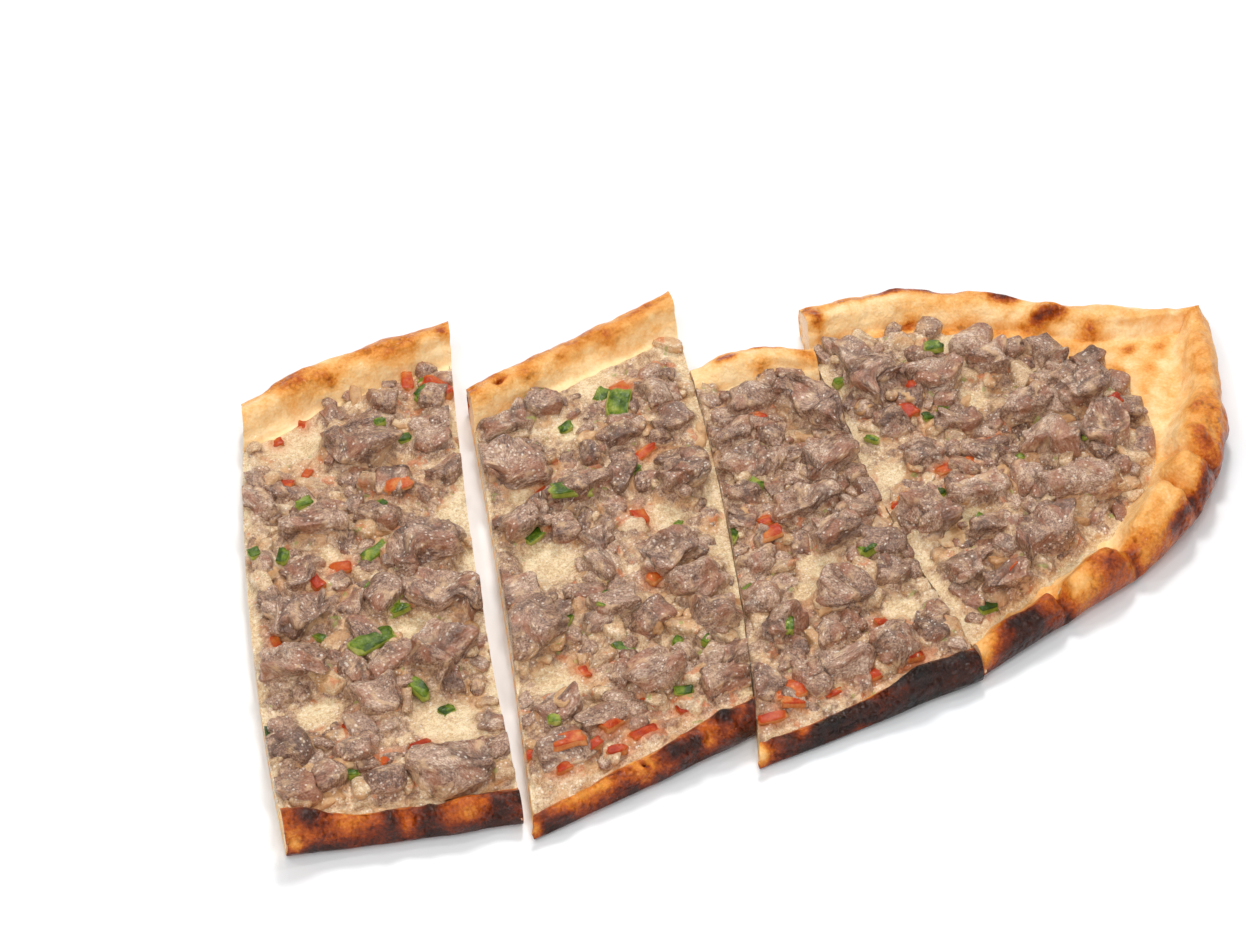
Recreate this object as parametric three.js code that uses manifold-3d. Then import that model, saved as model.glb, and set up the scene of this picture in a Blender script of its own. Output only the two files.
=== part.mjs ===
// A Turkish pide with diced lamb: the pointed half of the boat, cut across into four slices.
// Millimetres. +X runs along the boat to its pointed end, +Y to its back edge, +Z up.
// The origin is on the table, under the middle of the row of slices.
import * as THREE from "three";
import { mergeVertices } from "three/addons/utils/BufferGeometryUtils.js";
import Module from "manifold-3d";

const wasm = await Module();
wasm.setup();

// ---------------------------------------------------------------- driving dimensions

const DOUGH = {
  floor: 4, // thickness of the flat bread under the topping
  crest: 0.42, // where the rim is highest, as a share of its width from the outer edge
  edge: 0.4, // height of the outermost line, as a share of the rim's height
  underside: 0.32, // how far the rounded underside reaches in, as a share of the rim's width
};

const TOPPING = {
  gap: 0.3, // clearance between the bread, the topping and the loose pieces
  thickness: 1.25, // the soft layer that the meat lies in
  wave: 0.5, // how deep its hollows are
  edge: 0.7, // its thickness where it thins out at the rims
  ceiling: 30, // above every piece
};

const LUMP_BASE = -0.6; // where a lump's underside is cut flat, from -1 at its foot to 1 at its top

const BLISTER = { x: 100, y: 22, length: 11, width: 7, height: 2.6 }; // a bubble on the bare end

// How finely each kind of surface is divided.
const MESH = {
  sliceColumns: 8,
  pointedColumns: 26,
  rimRows: [0, 0.1, 0.24, 0.42, 0.7, 1], // shares of the rim's width
  innerRows: [0.34, 0.67], // shares of the way from the rim to the spine
  layerColumns: 5,
  layerRows: 8,
  loose: [3, 2, 2],
  vegetable: [2, 2, 1],
  fused: [2, 2, 1],
  scattered: [2, 1, 1],
};

const MIDDLE = { x: 1, y: 1.08 }; // middle of the row's outline in the plan below

const SCATTER = { count: 16, largest: 9.5, smallest: 5.5, tries: 60, spacing: 0.46, height: 0.66 };

// Rim widths, rim heights, and bare margins are given at equal steps from a slice's left cut
// to its right cut. Meat is x, y, length, width, height and turn in degrees; the first pieces
// stand alone and the others are fused to the soft layer. Clearings are x, y and radius.
const SLICES = [
  {
    seed: 11,
    front: [[-137, -61.5], [-111, -68.6], [-86, -74]],
    back: [[-95, 76], [-67, 83], [-37, 83.5]],
    bows: [-3.5, -2.5],
    frontRim: { widths: [12, 12, 11.5, 11], heights: [10.5, 9.6, 8.6, 7.6] },
    backRim: { widths: [14, 15, 15, 14], heights: [10, 11, 11, 10.5] },
    alone: 8,
    meat: [
      [-75, 50.5, 18, 14, 7.6, 10], [-75, 9, 18, 12, 7.4, 5], [-76, -7.5, 21, 10, 7, -50],
      [-94.5, 29, 14, 11, 7, -20], [-108, 1, 14, 10, 7, -10], [-116.5, -14, 16, 10, 6.6, -15],
      [-85.5, -24, 15, 12, 7.6, 30], [-96, -58, 17, 9, 8.2, -12],
      [-102, -30, 12, 10, 6.4, 0], [-58, 43.5, 9, 8, 6, 0], [-58, 32.5, 10, 7, 5.6, 20],
      [-105, 41, 7, 10, 6.2, 0], [-127, -36, 12, 9, 6.2, 20], [-129.5, -48, 9, 8, 6, 0],
      [-110, -54.5, 10, 7, 6, -10], [-113.5, -43, 9, 7, 5.6, 0], [-105, 14, 9, 8, 5.6, 0],
    ],
    clearings: [[-88, 59, 9], [-62, 19, 6], [-95, 17, 4], [-86, -12, 5], [-116, -27, 5], [-91, -43, 8]],
  },
  {
    seed: 23,
    front: [[-85.7, -79.4], [-57, -76.4], [-28.5, -72.5]],
    back: [[-42.8, 58], [-13, 65], [17.5, 70]],
    bows: [1, 3],
    frontRim: { widths: [9, 11, 12, 12], heights: [6.2, 7.4, 8.6, 9.8] },
    backRim: { widths: [14, 14, 14, 15], heights: [10, 9.5, 10, 11] },
    alone: 9,
    meat: [
      [-64, -25.5, 16, 14, 8, 25], [-45, 26, 16, 11, 7, -10], [-33, 13, 14, 9, 6.6, 0],
      [-9.5, 6, 13, 9, 7.4, 15], [-23, -17, 13, 10, 7, 5], [-21.5, -28.5, 12, 8, 7, 0],
      [-22, -39, 12, 9, 6.6, -10], [-42.5, -50, 12, 10, 7, 10], [-48.5, 7.5, 15, 8, 6.4, 10],
      [-41.5, -27.5, 11, 8, 6.6, 0], [-39, 42, 14, 8, 6, 0], [-2.5, 37.5, 8, 11, 6.4, 0],
      [-35, -4.5, 9, 6, 5.2, 0], [-60, -58, 13, 7, 6, 0], [-29, -57.5, 11, 7, 6, 0],
      [-16, 27, 12, 7, 5.6, 8],
    ],
    clearings: [[-12, 47, 7], [-50, -5, 7], [-18, -3, 5], [-62, -42, 6], [-45, 17, 4], [-27, 36, 5]],
  },
  {
    seed: 37,
    front: [[-31, -81.5], [-2, -80.6], [27, -78.5]],
    back: [[11, 43], [27, 43.5], [41.4, 37]],
    bows: [3, -3.5],
    frontRim: { widths: [9, 9, 11, 10], heights: [6.6, 6.6, 9, 7.6] },
    backRim: { widths: [11, 12, 12, 12], heights: [7, 8.6, 9, 8.5] },
    alone: 8,
    meat: [
      [31, 14.5, 25, 9, 7.4, -66], [25, -4, 16, 11, 7.6, 10], [14.5, -15.5, 16, 8, 7, 0],
      [15.5, -26.5, 13, 8, 6.6, 0], [8.5, -44.5, 13, 11, 7.6, 10], [-9.5, -49, 12, 8, 7, 30],
      [-5, -65.5, 17, 6.5, 6.4, -6], [11, -65.5, 12, 8, 6.4, 5],
      [19, 24, 13, 9, 6.4, 0], [8, 3.5, 14, 9, 6.2, 0], [10, 14.5, 10, 7, 6, 0],
      [-4.5, -27, 9, 7, 6, 0], [22, -43.5, 8, 7, 6, 0], [-1.5, -57, 8, 7, 6, 0], [21, -65, 8, 8, 6, 0],
    ],
    clearings: [[8, -33, 6], [20, -53, 5], [2, -39, 4]],
  },
  {
    seed: 53,
    front: [[28.7, -77.5], [56, -71], [82, -63.8], [104, -51], [121, -32], [133, -9], [139, 9]],
    back: [[45.6, 50], [67, 49], [87, 40], [105, 27], [122, 17], [139, 9]],
    spine: [[36.7, -16], [126, 3]],
    bows: [-3.5, 0],
    pointed: true,
    frontRim: {
      widths: [10, 12, 15, 17, 17, 14, 12, 10],
      heights: [7.5, 11, 12.5, 14.5, 13.5, 12, 10, 8.5],
    },
    backRim: { widths: [13, 14, 13, 12, 11, 10], heights: [9, 9, 8.5, 8.5, 8.5, 8.5] },
    creases: [{ at: 0.3, width: 0.018 }, { at: 0.46, width: 0.014 }, { at: 0.55, width: 0.014 }],
    toppingEnd: 0.74,
    frontMargins: [11, 13, 15.5, 16, 17.5, 21, 27],
    backMargins: [17, 15, 14.5, 14.5, 15, 19, 20],
    alone: 11,
    meat: [
      [50, 17, 12, 13, 7.6, 10], [63.5, 12.5, 12, 11, 7, 0], [79, 10.5, 11, 9, 7.4, 5],
      [79, -7.5, 14, 8, 6.6, 0], [95, -8.5, 13, 8, 7.4, 10], [77, -20.5, 13, 10, 7, 0],
      [91.5, -23.5, 14, 10, 7.6, 60], [38, -30.5, 12, 12, 7, 0], [75, -36.5, 21, 9, 7, -12],
      [60, -48, 18, 10, 7.4, 5], [44, -58.5, 13, 7, 6.4, -5],
      [47, -12, 8, 7, 6, 0], [37, -50, 9, 8, 6, 0], [50, -40, 9, 6, 5.8, 0], [54, -28, 15, 8, 6, 0],
      [63, -17, 11, 8, 6, 0], [62, -4, 10, 7, 5.8, 0], [47, 2, 9, 7, 5.6, 0],
    ],
    clearings: [[38, -12, 5], [50, -34, 4], [70, 3, 4]],
  },
];

// Cut vegetables large enough to be pieces of their own: x, y, length, width, turn in degrees.
const PEPPERS = { thickness: 2.4, pieces: [[-11, 37, 9, 6, 62], [-97, -13, 11, 6, 20]] };
const TOMATOES = { thickness: 2.6, pieces: [[-17, -67, 8, 6, -10], [-49, 62, 9, 5, -65]] };

// ---------------------------------------------------------------- small helpers

const clamp = (value, low, high) => Math.min(high, Math.max(low, value));
const mix = (a, b, t) => a + (b - a) * t;

// A value read at share t from values spaced evenly, with a smooth step between neighbours.
function along(values, t) {
  const place = clamp(t, 0, 1) * (values.length - 1);
  const index = Math.min(Math.floor(place), values.length - 2);
  const share = place - index;
  return mix(values[index], values[index + 1], share * share * (3 - 2 * share));
}

// A smooth curve through plan points, read at share t.
function curveThrough(points) {
  const corners = points.map(([x, y]) => new THREE.Vector3(x, y, 0));
  const curve = new THREE.CatmullRomCurve3(corners, false, "catmullrom");
  return (t) => curve.getPoint(t);
}

// A repeatable stream of numbers from 0 to 1.
function makeRandom(seed) {
  let state = seed;
  return () => {
    state = (Math.imul(state, 1664525) + 1013904223) >>> 0;
    return state / 4294967296;
  };
}

// ---------------------------------------------------------------- solids

// A closed solid from triangles that repeat their corners; flat triangles are dropped.
function solidFrom(positions) {
  const loose = new THREE.BufferGeometry();
  loose.setAttribute("position", new THREE.Float32BufferAttribute(positions, 3));
  const merged = mergeVertices(loose);
  const index = merged.index.array;
  const triangles = [];
  for (let i = 0; i < index.length; i += 3) {
    const [a, b, c] = [index[i], index[i + 1], index[i + 2]];
    if (a !== b && b !== c && c !== a) triangles.push(a, b, c);
  }
  return new wasm.Manifold(
    new wasm.Mesh({
      numProp: 3,
      vertProperties: merged.attributes.position.array,
      triVerts: new Uint32Array(triangles),
    }),
  );
}

// A slab between an upper and a lower sheet. Both are grids of [x, y, z], column by column,
// and the sheets' borders are joined by upright walls, except at an end that closes on itself.
function slab(upper, lower, endWall = true) {
  const positions = [];
  const quad = (a, b, c, d) => positions.push(...a, ...b, ...c, ...a, ...c, ...d);
  const columns = upper.length - 1;
  const rows = upper[0].length - 1;
  for (let i = 0; i < columns; i++) {
    for (let j = 0; j < rows; j++) {
      quad(upper[i][j], upper[i + 1][j], upper[i + 1][j + 1], upper[i][j + 1]);
      quad(lower[i][j], lower[i][j + 1], lower[i + 1][j + 1], lower[i + 1][j]);
    }
    quad(lower[i][0], lower[i + 1][0], upper[i + 1][0], upper[i][0]);
    quad(upper[i][rows], upper[i + 1][rows], lower[i + 1][rows], lower[i][rows]);
  }
  for (let j = 0; j < rows; j++) {
    quad(upper[0][j], upper[0][j + 1], lower[0][j + 1], lower[0][j]);
    if (endWall) quad(lower[columns][j], lower[columns][j + 1], upper[columns][j + 1], upper[columns][j]);
  }
  return solidFrom(positions);
}

// The largest body of a solid; loose scraps are dropped.
function largestBody(solid) {
  return solid.decompose().reduce((best, body) => (body.volume() > best.volume() ? body : best));
}

// A torn or diced lump on a flat underside: a box whose corners are pulled in and whose sides
// swell and dip. The pull is distance ** -0.5, and three phases shift the swelling.
function lump({ length, width, height, phases, segments }) {
  const box = new THREE.BoxGeometry(2, 2, 2, ...segments).toNonIndexed();
  const position = box.attributes.position;
  const corner = new THREE.Vector3();
  const [first, second, third] = phases;
  for (let i = 0; i < position.count; i++) {
    corner.fromBufferAttribute(position, i);
    const { x, y, z } = corner;
    const swell =
      Math.sin(2.7 * x + first) * Math.cos(2.1 * y + second) + 0.6 * Math.sin(3.9 * y + 3.1 * z + third);
    corner.multiplyScalar(corner.length() ** -0.5 * (1 + 0.11 * swell));
    const raised = (Math.max(corner.z, LUMP_BASE) - LUMP_BASE) / (1 - LUMP_BASE);
    position.setXYZ(i, (corner.x * length) / 2, (corner.y * width) / 2, raised * height);
  }
  return box;
}

// A piece as a solid where it lies, grown sideways and upwards, and sunk, by a clearance.
function placed({ x, y, bottom, length, width, height, turn, phases }, segments, by = 0) {
  const size = { length: length + 3 * by, width: width + 3 * by, height: height + 2 * by };
  const geometry = lump({ ...size, phases, segments });
  geometry.rotateZ(THREE.MathUtils.degToRad(turn)).translate(x, y, bottom - by);
  return solidFrom(geometry.attributes.position.array);
}

// ---------------------------------------------------------------- a slice's plan

// The plan of a slice: lines that run from its front edge over a spine to its back edge.
// at(u, s) is the point s millimetres along the line that starts at share u of the front edge.
function planOf(slice) {
  const front = curveThrough(slice.front);
  const back = curveThrough(slice.back);
  const spine = slice.spine
    ? curveThrough(slice.spine)
    : (u) => front(u).add(back(u)).multiplyScalar(0.5);
  const lengths = (u) => {
    const middle = spine(u);
    return [front(u).distanceTo(middle), back(u).distanceTo(middle)];
  };
  const at = (u, s) => {
    const [frontHalf, backHalf] = lengths(u);
    const point =
      s <= frontHalf
        ? front(u).lerp(spine(u), s / frontHalf)
        : spine(u).lerp(back(u), (s - frontHalf) / backHalf);
    const share = s / (frontHalf + backHalf);
    point.x += 4 * share * (1 - share) * mix(slice.bows[0], slice.bows[1], u);
    return point;
  };
  return { at, lengths };
}

// How much of the rim's height and width is left at share u, where pinches crease it.
function pinch(slice, u) {
  return (slice.creases ?? []).reduce(
    (left, crease) => left * (1 - 0.32 * Math.exp(-(((u - crease.at) / crease.width) ** 2))),
    1,
  );
}

function rimsAt(slice, u) {
  const left = pinch(slice, u);
  return {
    front: {
      width: along(slice.frontRim.widths, u) * mix(1, left, 0.5),
      height: along(slice.frontRim.heights, u) * left,
    },
    back: { width: along(slice.backRim.widths, u), height: along(slice.backRim.heights, u) },
  };
}

// ---------------------------------------------------------------- bread

// Height of a rim's upper face, s in from its outer edge: a round shoulder up to the crest,
// then a cosine fall to the floor of the boat.
function rimTop(s, { width, height }) {
  const crest = DOUGH.crest * width;
  const edge = DOUGH.edge * height;
  if (s < crest) return edge + (height - edge) * Math.sqrt(1 - (1 - s / crest) ** 2);
  const fall = clamp((s - crest) / (width - crest), 0, 1);
  return mix(height, DOUGH.floor, (1 - Math.cos(Math.PI * fall)) / 2);
}

// Height of the underside: a quarter round from the outermost line down to the table.
function rimUnder(s, { width, height }) {
  const reach = DOUGH.underside * width;
  return s < reach ? DOUGH.edge * height * (1 - Math.sqrt(1 - (1 - s / reach) ** 2)) : 0;
}

function blister(x, y) {
  const away = ((x - BLISTER.x) / BLISTER.length) ** 2 + ((y - BLISTER.y) / BLISTER.width) ** 2;
  return BLISTER.height * Math.exp(-6 * away);
}

// One slice of bread: a rim along its front and back edges, or all round the pointed end.
function bread(slice) {
  const { at, lengths } = planOf(slice);
  const columns = slice.pointed ? MESH.pointedColumns : MESH.sliceColumns;
  const upper = [];
  const lower = [];
  for (let i = 0; i <= columns; i++) {
    const u = i / columns;
    const [frontHalf, backHalf] = lengths(u);
    const rims = rimsAt(slice, u);
    const half = (rim, length) => [
      ...MESH.rimRows.map((share) => share * rim.width),
      ...MESH.innerRows.map((share) => mix(rim.width, length, share)),
    ];
    const whole = frontHalf + backHalf;
    const fromFront = half(rims.front, frontHalf).map((s) => [s, s, rims.front]);
    const fromBack = half(rims.back, backHalf).map((s) => [whole - s, s, rims.back]);
    const rows = [...fromFront, [frontHalf, frontHalf, rims.front], ...fromBack.reverse()];
    upper.push([]);
    lower.push([]);
    for (const [s, inward, rim] of rows) {
      const { x, y } = at(u, s);
      upper[i].push([x, y, rimTop(inward, rim) + (slice.pointed ? blister(x, y) : 0)]);
      lower[i].push([x, y, rimUnder(inward, rim)]);
    }
  }
  return slab(upper, lower, !slice.pointed);
}

// ---------------------------------------------------------------- topping

// at(u, v) inside the topping's outline: u from the left cut, v from front to back.
function toppingPlan(slice) {
  const { at, lengths } = planOf(slice);
  const end = slice.toppingEnd ?? 1;
  return (u, v) => {
    const rims = rimsAt(slice, u * end);
    const front = slice.frontMargins ? along(slice.frontMargins, u) : rims.front.width;
    const back = slice.backMargins ? along(slice.backMargins, u) : rims.back.width;
    const [frontHalf, backHalf] = lengths(u * end);
    return at(u * end, mix(front, frontHalf + backHalf - back, v));
  };
}

function sheet(plan, heightAt) {
  const { layerColumns, layerRows } = MESH;
  return Array.from({ length: layerColumns + 1 }, (_, i) =>
    Array.from({ length: layerRows + 1 }, (_, j) => {
      const { x, y } = plan(i / layerColumns, j / layerRows);
      return [x, y, heightAt(x, y, j / layerRows)];
    }),
  );
}

const FLOOR_OF_TOPPING = DOUGH.floor + TOPPING.gap;
const LOOSE_FLOOR = FLOOR_OF_TOPPING + TOPPING.thickness + TOPPING.gap;

// The soft layer dips in shallow hollows and thins out towards both rims.
function softLayerTop(x, y, v) {
  const hollow = TOPPING.wave * Math.abs(Math.sin(0.31 * x + 0.17 * y) * Math.sin(0.23 * y - 0.12 * x));
  const fromRim = clamp(Math.min(v, 1 - v) * 12, 0, 1);
  return FLOOR_OF_TOPPING + mix(TOPPING.edge, TOPPING.thickness - hollow, fromRim);
}

// The slab over the topping's outline, from its floor up to a given height.
function layerUpTo(plan, heightAt) {
  return slab(sheet(plan, heightAt), sheet(plan, () => FLOOR_OF_TOPPING));
}

// Smaller pieces, largest first, thrown where no other piece and no clearing is in the way.
function scatter(slice, plan, taken, random) {
  const pieces = [];
  for (let n = 0; n < SCATTER.count; n++) {
    const size = mix(SCATTER.largest, SCATTER.smallest, n / SCATTER.count);
    for (let t = 0; t < SCATTER.tries; t++) {
      const u = random();
      const v = random();
      const { x, y } = plan(mix(0.04, 0.96, u), mix(0.03, 0.97, v));
      const apart = (other) =>
        Math.hypot(x - other.x, y - other.y) > SCATTER.spacing * (size + (other.length + other.width) / 2);
      const open = ([cx, cy, radius]) => Math.hypot(x - cx, y - cy) > radius + size / 3;
      if ([...taken, ...pieces].every(apart) && slice.clearings.every(open)) {
        const shape = [random(), random()];
        pieces.push({
          x,
          y,
          length: size * mix(1, 1.3, shape[0]),
          width: size * mix(0.75, 1, shape[1]),
          height: size * SCATTER.height,
          turn: 180 * random(),
          phases: [6.28 * random(), 6.28 * random(), 6.28 * random()],
        });
        break;
      }
    }
  }
  return pieces;
}

// ---------------------------------------------------------------- assembly

const FINISH = {
  crust: { color: 0xe2b878, roughness: 0.75, metalness: 0 },
  topping: { color: 0xbfa088, roughness: 0.45, metalness: 0 },
  meat: { color: 0x8d7468, roughness: 0.4, metalness: 0 },
  pepper: { color: 0x3f7d22, roughness: 0.25, metalness: 0 },
  tomato: { color: 0xc8431c, roughness: 0.3, metalness: 0 },
};

function namedMesh(name, solid, finish) {
  const { vertProperties, triVerts } = solid.getMesh();
  const geometry = new THREE.BufferGeometry();
  geometry.setAttribute("position", new THREE.BufferAttribute(vertProperties, 3));
  geometry.setIndex(new THREE.BufferAttribute(triVerts, 1));
  const mesh = new THREE.Mesh(geometry, new THREE.MeshStandardMaterial(FINISH[finish]));
  mesh.name = name;
  return mesh;
}

// Vegetables that stand alone, pressed into the soft layer of the slice they lie on.
function vegetables(kind, { thickness, pieces }) {
  return pieces.map(([x, y, length, width, turn], i) => ({
    name: `${kind}_${i + 1}`,
    finish: kind,
    x,
    y,
    bottom: LOOSE_FLOOR,
    length,
    width,
    height: thickness,
    turn,
    phases: [i, 2, 4],
    segments: MESH.vegetable,
  }));
}

const VEGETABLES = [...vegetables("pepper", PEPPERS), ...vegetables("tomato", TOMATOES)];

// A hand-placed lump of meat, with its swelling drawn from the slice's random stream.
function meatLump([x, y, length, width, height, turn], random) {
  const phases = [6.28 * random(), 6.28 * random(), 6.28 * random()];
  return { x, y, length, width, height, turn, phases };
}

// True for a piece that lies mostly inside a solid.
function liesIn(piece, outer) {
  const solid = placed(piece, MESH.vegetable);
  return solid.intersect(outer).volume() > 0.5 * solid.volume();
}

function sliceGroup(slice, number) {
  const plan = toppingPlan(slice);
  const over = layerUpTo(plan, () => TOPPING.ceiling);
  const random = makeRandom(slice.seed);
  const meat = slice.meat.map((row) => meatLump(row, random));
  const small = scatter(slice, plan, meat, random);

  let topping = layerUpTo(plan, softLayerTop);
  const fuse = (piece, segments) => {
    const sunk = { ...piece, bottom: FLOOR_OF_TOPPING + TOPPING.gap };
    topping = topping.add(placed(sunk, segments).intersect(over));
  };
  meat.slice(slice.alone).forEach((piece) => fuse(piece, MESH.fused));
  small.forEach((piece) => fuse(piece, MESH.scattered));

  const cubes = meat.slice(0, slice.alone).map((piece, i) => ({
    ...piece,
    bottom: LOOSE_FLOOR,
    name: `meat_${number}_${i + 1}`,
    finish: "meat",
    segments: MESH.loose,
  }));
  const group = new THREE.Group();
  group.add(namedMesh(`dough_${number}`, bread(slice), "crust"));
  const before = [];
  for (const piece of [...VEGETABLES.filter((item) => liesIn(item, over)), ...cubes]) {
    const whole = placed(piece, piece.segments).intersect(over);
    const clear = before.reduce((rest, other) => rest.subtract(other), whole);
    const grown = placed(piece, piece.segments, TOPPING.gap);
    group.add(namedMesh(piece.name, largestBody(clear), piece.finish));
    topping = topping.subtract(grown);
    before.push(grown);
  }
  group.add(namedMesh(`topping_${number}`, largestBody(topping), "topping"));
  return group;
}

const pide = new THREE.Group();
SLICES.forEach((slice, index) => pide.add(sliceGroup(slice, index + 1)));
pide.position.set(-MIDDLE.x, -MIDDLE.y, 0);

export default pide;
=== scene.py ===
"""Looks of a sliced pide with diced lamb: the pointed half of a boat-shaped flatbread.

Shapes are planned in millimetres, in the row's plan: x runs along the boat to its pointed end, y to
its back edge and z up from the table. They are written to the meshes in metres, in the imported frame.
"""

import logging
import math
from collections.abc import Callable
from dataclasses import dataclass, replace
from enum import Enum, IntEnum

import bmesh
import bpy
import numpy as np
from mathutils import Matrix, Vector


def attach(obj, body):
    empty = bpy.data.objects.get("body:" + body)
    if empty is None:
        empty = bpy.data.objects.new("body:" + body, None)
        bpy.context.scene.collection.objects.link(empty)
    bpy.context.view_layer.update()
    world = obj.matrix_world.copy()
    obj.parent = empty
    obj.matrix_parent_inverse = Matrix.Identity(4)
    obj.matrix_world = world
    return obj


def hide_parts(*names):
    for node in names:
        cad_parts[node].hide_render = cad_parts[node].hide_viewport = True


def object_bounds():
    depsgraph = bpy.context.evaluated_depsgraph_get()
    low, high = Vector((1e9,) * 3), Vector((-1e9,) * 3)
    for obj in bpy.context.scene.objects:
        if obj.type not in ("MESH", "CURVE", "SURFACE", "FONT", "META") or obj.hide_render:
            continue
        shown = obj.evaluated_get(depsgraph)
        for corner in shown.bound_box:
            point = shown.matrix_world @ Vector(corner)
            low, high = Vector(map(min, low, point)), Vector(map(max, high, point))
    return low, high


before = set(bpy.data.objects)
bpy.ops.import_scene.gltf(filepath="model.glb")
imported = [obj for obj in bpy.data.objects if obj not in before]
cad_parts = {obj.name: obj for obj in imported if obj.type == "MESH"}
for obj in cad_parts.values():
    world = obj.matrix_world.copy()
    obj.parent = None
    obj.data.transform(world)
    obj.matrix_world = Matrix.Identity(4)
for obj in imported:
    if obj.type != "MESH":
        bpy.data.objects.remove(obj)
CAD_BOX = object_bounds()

LOG = logging.getLogger("pide")
Array = np.ndarray
Socket = bpy.types.NodeSocket
Stops = tuple[tuple[float, str], ...]  # colours at rising values from 0 to 1

PLAN_MIDDLE = np.array([1.0, 1.08, 0.0])  # middle of the row's outline in the plan
MILLIMETRES = 1000.0

FLOOR = 4.0  # thickness of the flat bread under the topping
CREST = 0.42  # where a rim is highest, as a share of its width from the outer edge
RIM_EDGE = 0.4  # height of a rim's outermost line, as a share of the rim's height
UNDERSIDE = 0.32  # how far the rounded underside reaches in, as a share of the rim's width
FOLD_DEPTH = 0.7  # how deep the folds at the foot of a back rim are
PINCH_DEPTH = 0.8  # how deep the line of a pinch across the front rim is
SLOPE_PALE = 0.16  # how brown a rim's inner slope is at most where its bake fades
LOOSE_FLOOR = 5.85  # where the larger pieces of meat stand
FUSED_FLOOR = 4.6  # where the smaller ones stand, sunk in the soft layer
LUMP_BASE = -0.6  # where a lump is cut flat, from -1 at its foot to 1 at its top
LEAST_LEFT = 0.3  # a lump of which a cut leaves less than this share is left out
LUMPS_APART = 40.0  # how far apart in the noise lumps lie, so that no two are alike
SHADE_STEP = 7919  # how far apart the seeds of their shades are

SLICE_STEPS = (150, 16)  # a slice's steps from cut to cut, and from a rim to the spine
POINTED_STEPS = (230, 44)  # the same for the slice with the boat's point
LARGE_STEPS, SMALL_STEPS = 30, 7  # faces along each edge of a large lump, and of scraps and vegetables
VEGETABLE_SEED, SMALL_SEED, SEED_STEP = 900, 1300, 17


# ---------------------------------------------------------------- numbers


def mix(a: float | Array, b: float | Array, t: float | Array) -> float | Array:
    """a + (b - a) * t, for numbers or arrays."""
    return a + (b - a) * t


def smooth(low: float, high: float, value: Array) -> Array:
    """A smooth step from 0 where value is at low to 1 where it is at high."""
    t = np.clip((value - low) / (high - low), 0.0, 1.0)
    return t * t * (3.0 - 2.0 * t)


def bell(value: Array) -> Array:
    """e to the power of minus value squared: 1 at 0 and near 0 beyond 2."""
    return np.exp(-(value**2))


def along(values: list[float], t: Array) -> Array:
    """Values spaced evenly, read at shares t.

    Args:
        values: numbers at equal steps from share 0 to share 1.
        t: shares, clipped to 0 and 1.

    Returns:
        For each share, its two neighbours mixed by 3w^2 - 2w^3, w being the share between them.
    """
    table = np.asarray(values, float)
    place = np.clip(t, 0.0, 1.0) * (len(table) - 1)
    index = np.minimum(place.astype(int), len(table) - 2)
    share = place - index
    return mix(table[index], table[index + 1], share * share * (3.0 - 2.0 * share))


def curve_through(points: list[tuple[float, float]], t: Array) -> Array:
    """A smooth curve through plan points, read at shares t.

    Each stretch is the cubic whose end slopes are half the way between the neighbouring points, and
    beyond both ends the next point is mirrored.

    Args:
        points: plan points at equal steps of the share.
        t: shares from 0 to 1.

    Returns:
        Plan points, with one more axis than t.
    """
    table = np.asarray(points, float)
    table = np.vstack([2 * table[0] - table[1], table, 2 * table[-1] - table[-2]])
    place = np.asarray(t, float) * (len(points) - 1)
    index = np.clip(place.astype(int), 0, len(points) - 2)
    w = (place - index)[..., None]
    before, start, end, after = (table[index + k] for k in range(4))
    leave, arrive = 0.5 * (end - before), 0.5 * (after - start)
    square = 3 * (end - start) - 2 * leave - arrive
    cube = 2 * (start - end) + leave + arrive
    return start + w * (leave + w * (square + w * cube))


class RandomStream:
    """A repeatable stream of numbers: each state is FACTOR times the last plus STEP, modulo RANGE."""

    FACTOR, STEP, RANGE = 1664525, 1013904223, 2**32
    FULL_TURN = 6.28

    def __init__(self, seed: int) -> None:
        """Starts the stream at a seed."""
        self.state = seed

    def next(self) -> float:
        """The next number, from 0 to 1."""
        self.state = (self.state * self.FACTOR + self.STEP) % self.RANGE
        return self.state / self.RANGE

    def between(self, low: float, high: float) -> float:
        """The next number, scaled to lie between low and high."""
        return mix(low, high, self.next())

    def phases(self) -> tuple[float, ...]:
        """Three angles from 0 to a full turn."""
        return tuple(self.FULL_TURN * self.next() for _ in range(3))


# ---------------------------------------------------------------- noise

AXIS_KEYS = (0x8DA6B343, 0xD8163841, 0xCB1AB31F)  # odd numbers that spread a cell's three coordinates
SEED_KEY = 0x165667B1
STIRS = ((15, 0x2C1B3C6D), (12, 0x297A2D39), (15, 1))  # shifts and factors that mix the bits
MIDDLE_SEEDS, TONE_SEED = (11, 12, 13), 14  # added to a pattern's seed for cells' middles and tones
DRIFT_SEEDS = (21, 22, 23)  # added to it for a drift along x, y and z


class Pattern(IntEnum):
    """Seeds of the patterns on the bread, in its crumb and on the soft layer."""

    MOTTLE, FINE_MOTTLE, BASE, RAGGED = 3, 5, 9, 17
    BROAD, SMALL, WRINKLES, BULGES = 21, 31, 35, 39
    PORES, HOLLOWS = 41, 43
    FOLD, SECOND_FOLD, WHICH_FOLD = 45, 46, 47
    MARGIN, CLEARING = 61, 63
    GRAIN_DRIFT, GRAINS, HEAPS, CRUMB_DRIFT = 65, 71, 73, 77


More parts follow.
